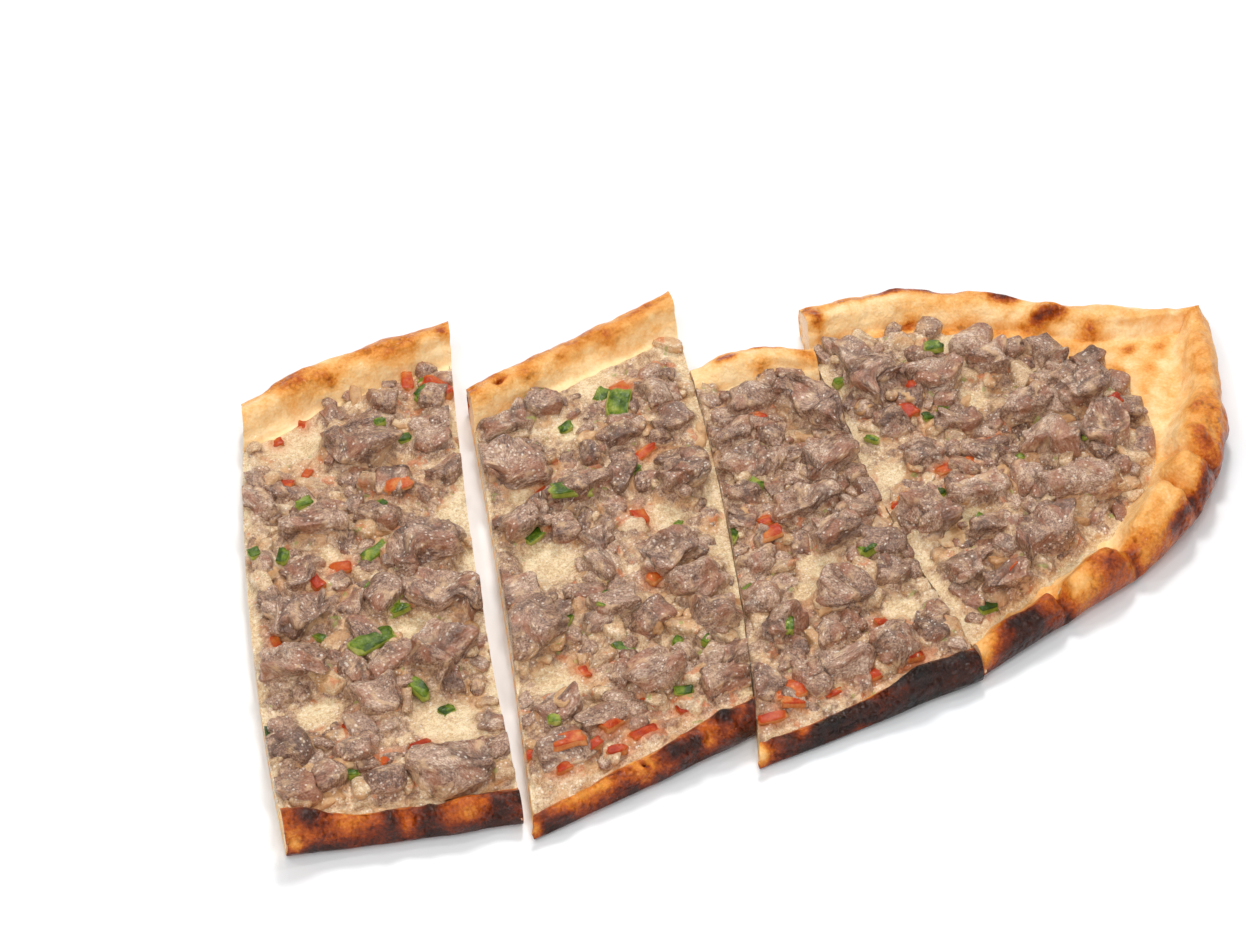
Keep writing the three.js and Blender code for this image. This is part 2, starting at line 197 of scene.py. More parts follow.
def lattice(cell: Array, seed: int) -> Array:
    """A number from 0 to 1 for each whole-number cell, by mixing its coordinates' bits."""
    c = cell.astype(np.int64).astype(np.uint32)
    h = np.full(c.shape[:-1], (seed * SEED_KEY) & 0xFFFFFFFF, np.uint32)
    for axis, key in enumerate(AXIS_KEYS):
        h = h ^ c[..., axis] * np.uint32(key)
    for shift, factor in STIRS:
        h = (h ^ (h >> np.uint32(shift))) * np.uint32(factor)
    return h.astype(float) / 0xFFFFFFFF


def noise(points: Array, size: float, seed: int = 0) -> Array:
    """Smooth noise from -1 to 1 whose bumps are about size across.

    Args:
        points: places, three numbers each.
        size: width of a bump, in the points' unit.
        seed: picks one of many patterns.

    Returns:
        For each point, the eight corners of its cell mixed by w^3 (6w^2 - 15w + 10) on each axis.
    """
    place = np.asarray(points, float) / size
    cell = np.floor(place)
    w = place - cell
    w = w * w * w * (w * (w * 6 - 15) + 10)
    total = np.zeros(place.shape[:-1])
    for corner in np.ndindex(2, 2, 2):
        share = np.prod(np.where(np.array(corner) == 1, w, 1 - w), axis=-1)
        total += share * lattice(cell + np.array(corner), seed)
    return 2 * total - 1


def layered(points: Array, size: float, seed: int = 0, layers: int = 3) -> Array:
    """Noise added over layers, each half as wide and half as high as the one before."""
    total = sum(noise(points, size / 2**k, seed + k) / 2**k for k in range(layers))
    return total / (2 - 2 ** (1 - layers))


def cells(points: Array, size: float, seed: int = 0) -> tuple[Array, Array, Array]:
    """Rounded cells about size across, packed like crumbs, around one jittered middle in each cube.

    Args:
        points: places, three numbers each.
        size: width of a cell.
        seed: picks one of many patterns.

    Returns:
        1 less the squared distance to the nearest middle, which is 1 there and near 0.4 between cells,
        a number from 0 to 1 that is the same all over a cell, and how much farther off the second
        nearest middle is, which is 0 on a border.
    """
    place = np.asarray(points, float) / size
    home = np.floor(place)
    nearest = np.full(place.shape[:-1], 9.0)
    second = nearest.copy()
    own = np.zeros(place.shape[:-1])
    for step in np.ndindex(3, 3, 3):
        other = home + np.array(step) - 1
        middle = other + np.stack([lattice(other, seed + k) for k in MIDDLE_SEEDS], axis=-1)
        away = ((place - middle) ** 2).sum(-1)
        closer = away < nearest
        own = np.where(closer, lattice(other, seed + TONE_SEED), own)
        second = np.where(closer, nearest, np.minimum(second, away))
        nearest = np.minimum(nearest, away)
    return 1 - np.clip(nearest, 0, 1), own, np.sqrt(second) - np.sqrt(nearest)


def drift(points: Array, size: float, reach: float, seed: int = 0) -> Array:
    """Points moved by up to reach along each axis, by noise with bumps about size across."""
    return points + reach * np.stack([noise(points, size, seed + k) for k in DRIFT_SEEDS], axis=-1)


# ---------------------------------------------------------------- meshes


def grid_quads(index: Array) -> Array:
    """The four-cornered faces of a grid of vertex numbers."""
    return np.stack([index[:-1, :-1], index[1:, :-1], index[1:, 1:], index[:-1, 1:]], -1).reshape(-1, 4)


def zip_lines(first: Array, second: Array, first_at: Array, second_at: Array) -> Array:
    """Triangles between two lines of vertices that run the same way and differ in number.

    Each step of the first line is joined to the nearest vertex of the second, and each step of the
    second to the vertex of the first that the last such triangle reached.

    Args:
        first: vertex numbers of the first line.
        second: vertex numbers of the second line.
        first_at: how far along each vertex of the first line lies.
        second_at: the same for the second line.

    Returns:
        Triangles as rows of three vertex numbers.
    """
    halfway = (second_at[1:] + second_at[:-1]) / 2
    nearest = np.searchsorted(halfway, (first_at[1:] + first_at[:-1]) / 2)
    reached = np.searchsorted(nearest, np.arange(len(second) - 1), side="right")
    fans = np.stack([first[:-1], first[1:], second[nearest]], -1)
    back = np.stack([second[1:], second[:-1], first[reached]], -1)
    return np.concatenate([fans, back])


def sort_faces(faces: list[Array]) -> tuple[Array, Array]:
    """Sorts faces into true quads and triangles, dropping what has collapsed to a line.

    Args:
        faces: arrays of rows of three or four vertex numbers.

    Returns:
        The quads and the triangles.
    """
    triangles = [f for f in faces if f.shape[1] == 3]
    quads = np.concatenate([f for f in faces if f.shape[1] == 4])
    for k in range(4):
        same = quads[:, k] == quads[:, (k + 1) % 4]
        triangles.append(np.delete(quads[same], k, axis=1))
        quads = quads[~same]
    tris = np.concatenate(triangles)
    whole = (tris[:, 0] != tris[:, 1]) & (tris[:, 1] != tris[:, 2]) & (tris[:, 2] != tris[:, 0])
    return quads, tris[whole]


class Shell:
    """A closed piece in the making: blocks of plan points with marks, and the faces between them."""

    def __init__(self) -> None:
        """Starts without points or faces."""
        self.points: list[Array] = []
        self.faces: list[Array] = []
        self.marks: dict[str, list[Array]] = {}
        self.count = 0

    def add(self, points: Array, **marks: Array | float) -> Array:
        """Adds a block of points.

        Args:
            points: plan points in millimetres, on any number of axes.
            marks: values for each point that the material reads, or one for all of them.

        Returns:
            The points' vertex numbers, in the same order.
        """
        shape = points.shape[:-1]
        index = self.count + np.arange(math.prod(shape)).reshape(shape)
        self.points.append(points.reshape(-1, 3))
        self.count += index.size
        for name, values in marks.items():
            values = np.asarray(values, float)
            if values.ndim == 0:
                values = np.full(index.size, values)
            tail = (3,) if values.size == 3 * index.size else ()
            self.marks.setdefault(name, []).append(values.reshape(-1, *tail))
        return index

    def piece(self, name: str, crease_angle: float = 58.0, oriented: bool = False) -> bpy.types.Object:
        """Makes the mesh object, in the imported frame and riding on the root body.

        Args:
            name: the piece's name.
            crease_angle: edges sharper than this, in degrees, are shaded as edges.
            oriented: whether the faces already point outwards.

        Returns:
            The object, with every face pointing outwards.
        """
        quads, tris = sort_faces(self.faces)
        used, renumbered = np.unique(np.concatenate([quads.ravel(), tris.ravel()]), return_inverse=True)
        corners = renumbered.ravel()
        mesh = bpy.data.meshes.new(name)
        mesh.vertices.add(len(used))
        placed = (np.concatenate(self.points)[used] - PLAN_MIDDLE) / MILLIMETRES
        placed = np.clip(placed, *np.array(CAD_BOX))
        mesh.vertices.foreach_set("co", placed.astype(np.float32).ravel())
        mesh.loops.add(len(corners))
        mesh.loops.foreach_set("vertex_index", corners.astype(np.int32))
        mesh.polygons.add(len(quads) + len(tris))
        starts = np.concatenate([np.arange(len(quads)) * 4, 4 * len(quads) + np.arange(len(tris)) * 3])
        mesh.polygons.foreach_set("loop_start", starts.astype(np.int32))
        mesh.update(calc_edges=True)
        for mark, blocks in self.marks.items():
            values = np.concatenate(blocks)[used]
            kind, key = ("FLOAT", "value") if values.ndim == 1 else ("FLOAT_VECTOR", "vector")
            layer = mesh.attributes.new(mark, kind, "POINT")
            layer.data.foreach_set(key, values.astype(np.float32).ravel())
        mesh.validate()
        shell = bmesh.new()
        shell.from_mesh(mesh)
        bmesh.ops.dissolve_degenerate(shell, dist=1e-6, edges=shell.edges)
        if not oriented:
            bmesh.ops.recalc_face_normals(shell, faces=shell.faces)
            if shell.calc_volume(signed=True) < 0:
                bmesh.ops.reverse_faces(shell, faces=shell.faces)
        shell.to_mesh(mesh)
        shell.free()
        mesh.shade_smooth()
        mesh.set_sharp_from_angle(angle=math.radians(crease_angle))
        piece = bpy.data.objects.new(name, mesh)
        bpy.context.scene.collection.objects.link(piece)
        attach(piece, "root")
        return piece


def dress(piece: bpy.types.Object, material: bpy.types.Material, slot: str, *nodes: str) -> None:
    """Gives a piece its material and hides the nodes that it stands for."""
    piece.data.materials.append(material)
    if nodes:
        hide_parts(*nodes)
    triangles = sum(len(face.vertices) - 2 for face in piece.data.polygons)
    LOG.info("%s: %d triangles, stands for %s", piece.name, triangles, ", ".join(nodes) or "nothing")


# ---------------------------------------------------------------- the row's plan


@dataclass(frozen=True)
class Rim:
    """A raised rim, by values at equal steps from a slice's left cut to its right cut.

    Args:
        widths: its widths.
        heights: its heights.
        bake: how brown its crest is, from 0, pale, to 1, black.
        bulge: how far its bulges stand out.
    """

    widths: list[float]
    heights: list[float]
    bake: list[float]
    bulge: float


@dataclass(frozen=True)
class Patch:
    """A toasted, charred or blistered place: an oval in plan whose middle has a given brownness.

    Args:
        x: middle along the boat.
        y: middle across it.
        length: half its length.
        width: half its width.
        level: brownness of its middle, from 0, pale, to 1, black.
        turn: turn of its length from x, in degrees.
        height: how far it is raised as a blister, or sunk if negative.
    """

    x: float
    y: float
    length: float
    width: float
    level: float
    turn: float = 0.0
    height: float = 0.0

    def distance(self, x: Array, y: Array, rise: Array) -> Array:
        """How far points are from the middle: 1 at its oval, with 0.6 of a way up or down counted in."""
        turn, spread = math.radians(self.turn), math.sqrt(self.length * self.width)
        x, y = x - self.x, y - self.y
        lengthwise = (x * math.cos(turn) + y * math.sin(turn)) / self.length
        crosswise = (y * math.cos(turn) - x * math.sin(turn)) / self.width
        return np.sqrt(lengthwise**2 + crosswise**2 + (0.6 * rise / spread) ** 2)


@dataclass(frozen=True)
class SliceSpec:
    """One slice of the boat, from which its bread, soft layer and meat are worked out.

    Args:
        seed: start of the slice's random stream.
        front: points of the front edge.
        back: points of the back edge.
        bows: how far the left and right cuts bow along x.
        front_rim: the rim along the front edge.
        back_rim: the rim along the back edge.
        alone: how many of the pieces of meat stand alone.
        meat: x, y, length, width, height and turn of the larger pieces.
        clearings: x, y and radius of the places without meat.
        patches: toasted, charred and blistered places, as a Patch's values.
        spine: line that the slice is lofted over, where it isn't midway between the edges.
        pointed: whether the slice ends in the boat's point.
        creases: place and width of the pinches across the front rim, as shares of the front edge.
        topping_end: share of the length at which the topping ends.
        front_margins: bare margins in front of the topping, where they aren't the rim's width.
        back_margins: bare margins behind the topping.
        strips: strips along the left and right cuts without scraps, as shares of the topping's length.
        bare: x, y and radius of places without scraps.
        flat: how brown the flat bread is.
    """

    seed: int
    front: list[tuple[float, float]]
    back: list[tuple[float, float]]
    bows: tuple[float, float]
    front_rim: Rim
    back_rim: Rim
    alone: int
    meat: list[tuple[float, ...]]
    clearings: list[tuple[float, ...]]
    patches: list[tuple[float, ...]]
    spine: list[tuple[float, float]] | None = None
    pointed: bool = False
    creases: tuple[tuple[float, float], ...] = ()
    topping_end: float = 1.0
    front_margins: list[float] | None = None
    back_margins: list[float] | None = None
    strips: tuple[float, float] = (0.0, 0.0)
    bare: tuple[tuple[float, ...], ...] = ()
    flat: float = 0.15


SLICES = [
    SliceSpec(
        seed=11,
        front=[(-137, -61.5), (-111, -68.6), (-86, -74)],
        back=[(-95, 76), (-67, 83), (-37, 83.5)],
        bows=(-3.5, -2.5),
        front_rim=Rim([12, 12, 11.5, 11], [10.5, 9.6, 8.6, 7.6], [0.74, 0.73, 0.75, 0.72, 0.79], 2.7),
        back_rim=Rim([14, 15, 15, 14], [10, 11, 11, 10.5], [0.36, 0.46, 0.42, 0.48, 0.36], 0.8),
        alone=8,
        meat=[
            (-75, 50.5, 18, 14, 7.6, 10), (-75, 9, 18, 12, 7.4, 5), (-76, -7.5, 21, 10, 7, -50),
            (-94.5, 29, 14, 11, 7, -20), (-108, 1, 14, 10, 7, -10), (-116.5, -14, 16, 10, 6.6, -15),
            (-85.5, -24, 15, 12, 7.6, 30), (-96, -58, 17, 9, 8.2, -12),
            (-102, -30, 12, 10, 6.4, 0), (-58, 43.5, 9, 8, 6, 0), (-58, 32.5, 10, 7, 5.6, 20),
            (-105, 41, 7, 10, 6.2, 0), (-127, -36, 12, 9, 6.2, 20), (-129.5, -48, 9, 8, 6, 0),
            (-110, -54.5, 10, 7, 6, -10), (-113.5, -43, 9, 7, 5.6, 0), (-105, 14, 9, 8, 5.6, 0),
        ],
        clearings=[(-88, 59, 9), (-62, 19, 6), (-95, 17, 4), (-86, -12, 5), (-116, -27, 5), (-91, -43, 8)],
        strips=(0.05, 0.05),
        patches=[
            (-135, -61.6, 2.6, 1.6, 0.36, -10), (-130.5, -58.6, 4, 2.6, 0.84, -10, 0.5),
            (-121.5, -62.6, 3.4, 2.4, 0.56, -12, 0.3), (-121, -65.8, 7.5, 1.2, 0.8, -14),
            (-114.2, -65.4, 2.0, 6, 0.86, -12, 0.6), (-110.2, -66, 1.8, 4, 0.6, -16, -0.6),
            (-104.8, -66.4, 2.2, 6, 0.87, -12, 0.7), (-97, -67.6, 5, 3.4, 0.54, -13, 0.6),
            (-92, -66.6, 3, 1.4, 0.74, -13), (-99, -72, 9, 1, 0.82, -13), (-87.6, -70.4, 2, 3.4, 0.84, -20),
            (-83, 79, 6, 3, 0.55, 15, 0.3), (-73.5, 74, 1.6, 2.2, 0.56, 0, 0.3),
            (-62, 79, 3, 2, 0.52, 0, 0.3), (-41.5, 78, 1.4, 2.4, 0.6, 20), (-52, 80, 8, 2.4, 0.5, 4),
        ],
    ),
    SliceSpec(
        seed=23,
        front=[(-85.7, -79.4), (-57, -76.4), (-28, -72.4)],
        back=[(-42.8, 58), (-13, 65), (17.5, 70)],
        bows=(1, 3.4),
        front_rim=Rim([9, 11, 12, 12], [6.2, 7.4, 8.6, 9.8], [0.76, 0.68, 0.71, 0.74, 0.74], 2.7),
        back_rim=Rim([14, 14, 14, 15], [10, 9.5, 10, 11], [0.46, 0.44, 0.44, 0.5, 0.46], 0.8),
        alone=9,
        meat=[
            (-64, -25.5, 16, 14, 8, 25), (-45, 26, 16, 11, 7, -10), (-33, 13, 14, 9, 6.6, 0),
            (-9.5, 6, 13, 9, 7.4, 15), (-23, -17, 13, 10, 7, 5), (-21.5, -28.5, 12, 8, 7, 0),
            (-22, -39, 12, 9, 6.6, -10), (-42.5, -50, 12, 10, 7, 10), (-48.5, 7.5, 15, 8, 6.4, 10),
            (-41.5, -27.5, 11, 8, 6.6, 0), (-39, 42, 14, 8, 6, 0), (-2.5, 37.5, 8, 11, 6.4, 0),
            (-35, -4.5, 9, 6, 5.2, 0), (-60, -58, 13, 7, 6, 0), (-29, -57.5, 11, 7, 6, 0),
            (-16, 27, 12, 7, 5.6, 8),
        ],
        clearings=[(-12, 47, 7), (-50, -5, 7), (-18, -3, 5), (-62, -42, 6), (-45, 17, 4), (-27, 36, 5)],
        strips=(0.02, 0.08),
        patches=[
            (-84.4, -78.6, 1.8, 1.6, 0.4), (-78, -78.4, 4.6, 1.4, 0.9, 4, 0.4),
            (-72, -74.4, 9, 2, 0.48, 4, 0.4), (-64, -77.6, 8, 1.3, 0.78, 4),
            (-56, -73.4, 3.2, 2.4, 0.3, -60, 0.9), (-56, -73.4, 1.6, 1, 0.92, -60, -2),
            (-54, -76.4, 3.6, 1.4, 0.9, 6), (-61.5, -73, 2, 1.4, 0.7, 10),
            (-47.6, -72.6, 2.6, 2, 0.92, 6, 0.6), (-43, -72.8, 2, 2, 0.9, 10, 0.5),
            (-46, -76, 7, 1.2, 0.84, 6), (-39.6, -72, 1.6, 2.4, 0.55, -10, -0.4),
            (-34.6, -69, 3.2, 2.8, 0.99, 10, 0.9), (-34, -73.6, 5, 1.2, 0.86, 8),
            (-29.6, -68.6, 1.2, 2.6, 0.6, -10, 0.3), (-60, -68.6, 9, 1.2, 0.5, 4),
            (-35.5, 55, 2.6, 1.5, 0.72, 30, -1.6), (-28, 55, 2, 1.6, 0.55), (-4, 59, 2.4, 2, 0.56, 0, 0.3),
            (8, 64, 6, 2, 0.55, 12), (-38, 58, 5, 2, 0.58, 10), (-24, 60.5, 5, 1.6, 0.52, 10),
        ],
    ),
    SliceSpec(
        seed=37,
        front=[(-31.4, -81.5), (-2, -80.6), (27.5, -78.4)],
        back=[(11, 43), (27, 43.5), (41.7, 37)],
        bows=(2.5, -3.1),
        front_rim=Rim([9, 9, 11, 10], [6.2, 6.8, 9.4, 7.8], [0.76, 0.86, 0.9, 0.88, 0.92], 2.7),
        back_rim=Rim([11, 12, 12, 12], [7, 8.6, 9, 8.5], [0.24, 0.26, 0.24, 0.28, 0.26], 0.6),
        alone=8,
        meat=[
            (31, 14.5, 25, 9, 7.4, -66), (25, -4, 16, 11, 7.6, 10), (14.5, -15.5, 16, 8, 7, 0),
            (15.5, -26.5, 13, 8, 6.6, 0), (8.5, -44.5, 13, 11, 7.6, 10), (-9.5, -49, 12, 8, 7, 30),
            (-5, -65.5, 17, 6.5, 6.4, -6), (11, -65.5, 12, 8, 6.4, 5),
            (19, 24, 13, 9, 6.4, 0), (8, 3.5, 14, 9, 6.2, 0), (10, 14.5, 10, 7, 6, 0),
            (-4.5, -27, 9, 7, 6, 0), (22, -43.5, 8, 7, 6, 0), (-1.5, -57, 8, 7, 6, 0), (21, -65, 8, 8, 6, 0),
        ],
        clearings=[(8, -33, 6), (20, -53, 5), (2, -39, 4)],
        patches=[
            (-30.4, -80, 2.4, 2.6, 0.22, 0, 0.5), (-24, -79.4, 4, 2.4, 0.8, 0, 0.4),
            (-12, -79, 8, 2.6, 0.97, 0, 0.4), (-18.5, -77.6, 2, 1.2, 0.58, 20),
            (-15, -74.6, 9, 0.9, 0.54, 5), (4, -73.2, 8, 0.9, 0.54, 4), (22, -71.6, 6, 1.0, 0.48),
            (12, -75.6, 5.4, 3.2, 1.0, 0, 1.0), (3, -77.6, 2, 2, 0.8, 0, -0.7),
            (23, -75, 3, 2.6, 0.96, 0, 0.5), (-6, -80.6, 7, 0.7, 0.3, 2), (20, 40.5, 3, 1.6, 0.66),
            (30, 41, 6, 1.4, 0.7, -14, 0.3), (27, 35, 3, 2, 0.5), (39, 33, 2.4, 5, 0.5, 20),
        ],
    ),
    SliceSpec(
        seed=53,
        front=[(28.3, -77.6), (56, -71), (82, -63.8), (104, -51), (121, -32), (133, -9), (139, 9)],
        back=[(45.3, 50), (67, 49), (87, 40), (105, 27), (122, 17), (139, 9)],
        spine=[(36.7, -16), (126, 3)],
        bows=(-3.9, 0),
        pointed=True,
        front_rim=Rim(
            [10, 12, 15, 17, 17, 14, 12, 10],
            [7.5, 11, 12.5, 14.5, 13.5, 12, 10, 8.5],
            [0.46, 0.58, 0.46, 0.42, 0.44, 0.46, 0.42, 0.4],
            1.2,
        ),
        back_rim=Rim(
            [13, 14, 13, 12, 11, 10],
            [9, 9, 8.5, 8.5, 8.5, 8.5],
            [0.29, 0.27, 0.31, 0.27, 0.26, 0.28],
            0.8,
        ),
        creases=((0.3, 0.024), (0.46, 0.02), (0.55, 0.018), (0.16, 0.012)),
        topping_end=0.74,
        strips=(0.055, 0.02),
        bare=((99, 12, 7), (88, 21, 6), (108, -4, 6), (75, 24, 5), (105, -14, 4)),
        flat=0.3,
        front_margins=[11, 13, 15.5, 16, 17.5, 21, 27],
        back_margins=[17, 15, 14.5, 14.5, 15, 19, 20],
        alone=11,
        meat=[
            (50, 17, 12, 13, 7.6, 10), (63.5, 12.5, 12, 11, 7, 0), (79, 10.5, 11, 9, 7.4, 5),
            (79, -7.5, 14, 8, 6.6, 0), (95, -8.5, 13, 8, 7.4, 10), (77, -20.5, 13, 10, 7, 0),
            (91.5, -23.5, 14, 10, 7.6, 60), (38, -30.5, 12, 12, 7, 0), (75, -36.5, 21, 9, 7, -12),
            (60, -48, 18, 10, 7.4, 5), (44, -58.5, 13, 7, 6.4, -5),
            (47, -12, 8, 7, 6, 0), (37, -50, 9, 8, 6, 0), (50, -40, 9, 6, 5.8, 0), (54, -28, 15, 8, 6, 0),
            (63, -17, 11, 8, 6, 0), (62, -4, 10, 7, 5.8, 0), (47, 2, 9, 7, 5.6, 0),
        ],
        clearings=[(38, -12, 5), (50, -34, 4), (70, 3, 4)],
        patches=[
            (42, -72.5, 7.5, 5.6, 0.9, 14), (36, -77, 8, 4.2, 0.92, 10), (53, -70, 3, 4, 0.74, 30),
            (60, -66, 6, 3, 0.34, 20), (69, -66, 5, 6, 0.72, 20), (67, -59, 2.6, 1.4, 0.74),
            (80, -61, 6, 4, 0.6, 30), (86, -56, 6, 4, 0.4, 30), (92, -58, 9, 2, 0.8, 33),
            (104, -50, 9, 2.2, 0.8, 42), (99, -44, 5, 4, 0.42, 40), (110, -39, 2, 4, 0.68, 10),
            (116, -30, 7, 5, 0.55, 55), (118, -37, 7, 2.4, 0.75, 52), (126, -12, 9, 4, 0.44, 64),
            (127, -22, 7, 2, 0.56, 60), (134, 2, 5, 3, 0.44, 70), (46.5, 45, 2, 4, 0.8, 0, 0.2),
            (56, 47.5, 6, 1.8, 0.58), (70, 46, 8, 2, 0.8, -6, 0.3), (77, 43, 4, 1.8, 0.86, -20, 0.3),
            (85, 39, 5, 1.6, 0.62, -24), (94, 32.5, 5, 2.6, 0.84, -36, 0.4), (104, 25, 4, 1.6, 0.5, -34),
            (69, 36, 4, 2, 0.55, 10, 0.2), (100, 21.5, 5.4, 3, 0.78, 0, 0.4),
            (109, 14, 3.4, 2.6, 0.6, 10, 0.3), (115.6, 5, 3, 1.6, 0.56, 20, 0.2), (108, -1, 3.4, 2.2, 0.52),
            (99, 11.5, 7, 2.6, 0.44, 6), (88, 24, 5, 2, 0.42, -20), (106, 8, 5, 3, 0.42, 30),
            (123, 2.6, 4, 2, 0.48, 40, 0.2), (117, -2, 3.4, 2.4, 0.44, 50), (103, -12, 4, 2, 0.5, 60),
            (78, 30, 6, 2, 0.46, -8), (111, -10, 4, 1.6, 0.4, 60), (66, 27.5, 5, 1.6, 0.5, 10),
            (118, 15, 4, 1.4, 0.45, -30), (121, -9, 15, 1.5, 0.3, 49, -0.5),
            (128, 8, 7, 1.3, 0.26, 24, -0.35),
        ],
    ),
]

BLISTER = Patch(100, 22, 11, 7, 0.0, 0.0, 2.6)  # the large bubble on the bare end


class SlicePlan:
    """A slice's plan and its bread's heights: lines run from the front edge over a spine to the back."""

    cut_steps = 200  # points along each cut
    pinched = 0.32  # share of the front rim's height that a pinch takes off
    fall_from, fall_over = 0.06, 0.86  # the part of a rim's inner slope over which it falls

    def __init__(self, spec: SliceSpec) -> None:
        """Keeps the slice's sizes, and its two cuts as x for a given y."""
        self.spec = spec
        self.patches = [Patch(*row) for row in spec.patches]
        self.cuts = []
        for side in (0.0, 1.0):
            u = np.full(self.cut_steps, side)
            first, second = self.lengths(u)
            x, y = np.moveaxis(self.at(u, np.linspace(0, 1, self.cut_steps) * (first + second)), -1, 0)
            self.cuts.append((y, x))

    def lines(self, u: Array) -> tuple[Array, Array, Array]:
        """The front edge, the spine and the back edge at shares u."""
        front, back = curve_through(self.spec.front, u), curve_through(self.spec.back, u)
        spine = curve_through(self.spec.spine, u) if self.spec.spine else (front + back) / 2
        return front, spine, back

    def lengths(self, u: Array) -> tuple[Array, Array]:
        """How far the spine is from the front edge and from the back edge at shares u."""
        front, spine, back = self.lines(u)
        return np.linalg.norm(spine - front, axis=-1), np.linalg.norm(back - spine, axis=-1)

    def at(self, u: Array, s: Array) -> Array:
        """Plan points s millimetres along the lines that start at shares u of the front edge.

        The point is on the front half while s is below its length, then on the back half, and x is
        shifted by 4 q (1 - q) times the bow, q being s as a share of both halves.
        """
        front, spine, back = self.lines(u)
        first, second = self.lengths(u)
        on_front = front + (spine - front) * (s / first)[..., None]
        on_back = spine + (back - spine) * ((s - first) / second)[..., None]
        point = np.where((s <= first)[..., None], on_front, on_back)
        share = s / (first + second)
        bow = 4 * share * (1 - share) * mix(*self.spec.bows, u)
        return point + np.stack([bow, np.zeros_like(bow)], axis=-1)

    def rims(self, u: Array) -> tuple[Array, Array, Array, Array]:
        """Widths and heights of the front and back rims at shares u, less where pinches crease them."""
        left = np.ones_like(u)
        for at, width in self.spec.creases:
            left = left * (1 - self.pinched * bell((u - at) / width))
        front, back = self.spec.front_rim, self.spec.back_rim
        width = along(front.widths, u) * mix(1.0, left, 0.5)
        return width, along(front.heights, u) * left, along(back.widths, u), along(back.heights, u)

    def margins(self, u: Array) -> tuple[Array, Array]:
        """Widths of the bare margins in front of and behind the topping at shares u of the bread."""
        width, _, back_width, _ = self.rims(u)
        share = u / self.spec.topping_end
        front = along(self.spec.front_margins, share) if self.spec.front_margins else width
        back = along(self.spec.back_margins, share) if self.spec.back_margins else back_width
        return front, back

    def inward(self, u: Array, s: Array) -> tuple[Array, Array, Array, Array]:
        """The way in from the nearer edge, that rim's width and height, and whether it is the front."""
        first, second = self.lengths(u)
        width, height, back_width, back_height = self.rims(u)
        ahead = s <= first
        way = np.where(ahead, s, first + second - s)
        return way, np.where(ahead, width, back_width), np.where(ahead, height, back_height), ahead

    def top(self, u: Array, s: Array) -> Array:
        """Height of the bread's upper face.

        A quarter round rises from the outermost line to the crest, then half a cosine wave falls to
        the floor, and the large blister is a bell on top.
        """
        way, width, height, _ = self.inward(u, s)
        crest, edge = CREST * width, RIM_EDGE * height
        rise = edge + (height - edge) * np.sqrt(1 - (1 - np.clip(way / crest, 0, 1)) ** 2)
        inner = (way - crest) / (width - crest)
        fall = np.clip((inner - self.fall_from) / self.fall_over, 0, 1)
        slope = mix(height, FLOOR, (1 - np.cos(np.pi * fall)) / 2)
        top = np.where(way < crest, rise, slope)
        if self.spec.pointed:
            away = BLISTER.distance(*np.moveaxis(self.at(u, s), -1, 0), 0.0)
            top = top + BLISTER.height * np.exp(-6 * away**2)
        return top

    def under(self, u: Array, s: Array) -> Array:
        """Height of the underside: a quarter round from the outermost line down to the table."""
        way, width, height, _ = self.inward(u, s)
        reach = UNDERSIDE * width
        lift = 1 - np.sqrt(1 - (1 - np.clip(way / reach, 0, 1)) ** 2)
        return np.where(way < reach, RIM_EDGE * height * lift, 0.0)

    def topping_point(self, u: float, v: float) -> tuple[float, float]:
        """A point inside the topping's outline: u from the left cut, v from front to back."""
        share = np.array([u * self.spec.topping_end])
        front, back = self.margins(share)
        first, second = self.lengths(share)
        x, y = self.at(share, mix(front, first + second - back, v))[0]
        return float(x), float(y)

    def trim(self, points: Array, spare: float = 0.1) -> Array:
        """Moves points that lie past a cut along x, on to the cut's upright face."""
        y, x = self.cuts[0]
        kept = np.maximum(points[..., 0], np.interp(points[..., 1], y, x) + spare)
        if not self.spec.pointed:
            y, x = self.cuts[1]
            kept = np.minimum(kept, np.interp(points[..., 1], y, x) - spare)
        return np.stack([kept, points[..., 1], points[..., 2]], axis=-1)

    def gap_to(self, x: float, y: float) -> float:
        """How far a plan point lies outside the slice's two cuts, along x."""
        left = np.interp(y, *self.cuts[0])
        right = math.inf if self.spec.pointed else np.interp(y, *self.cuts[1])
        return float(max(left - x, x - right, 0.0))


# ---------------------------------------------------------------- finishes


def colour(code: str) -> tuple[float, float, float, float]:
    """A screen colour such as "f6dba7" as linear red, green, blue and 1."""
    parts = [int(code[k:k + 2], 16) / 255 for k in (0, 2, 4)]
    red, green, blue = (p / 12.92 if p <= 0.04045 else ((p + 0.055) / 1.055) ** 2.4 for p in parts)
    return red, green, blue, 1.0


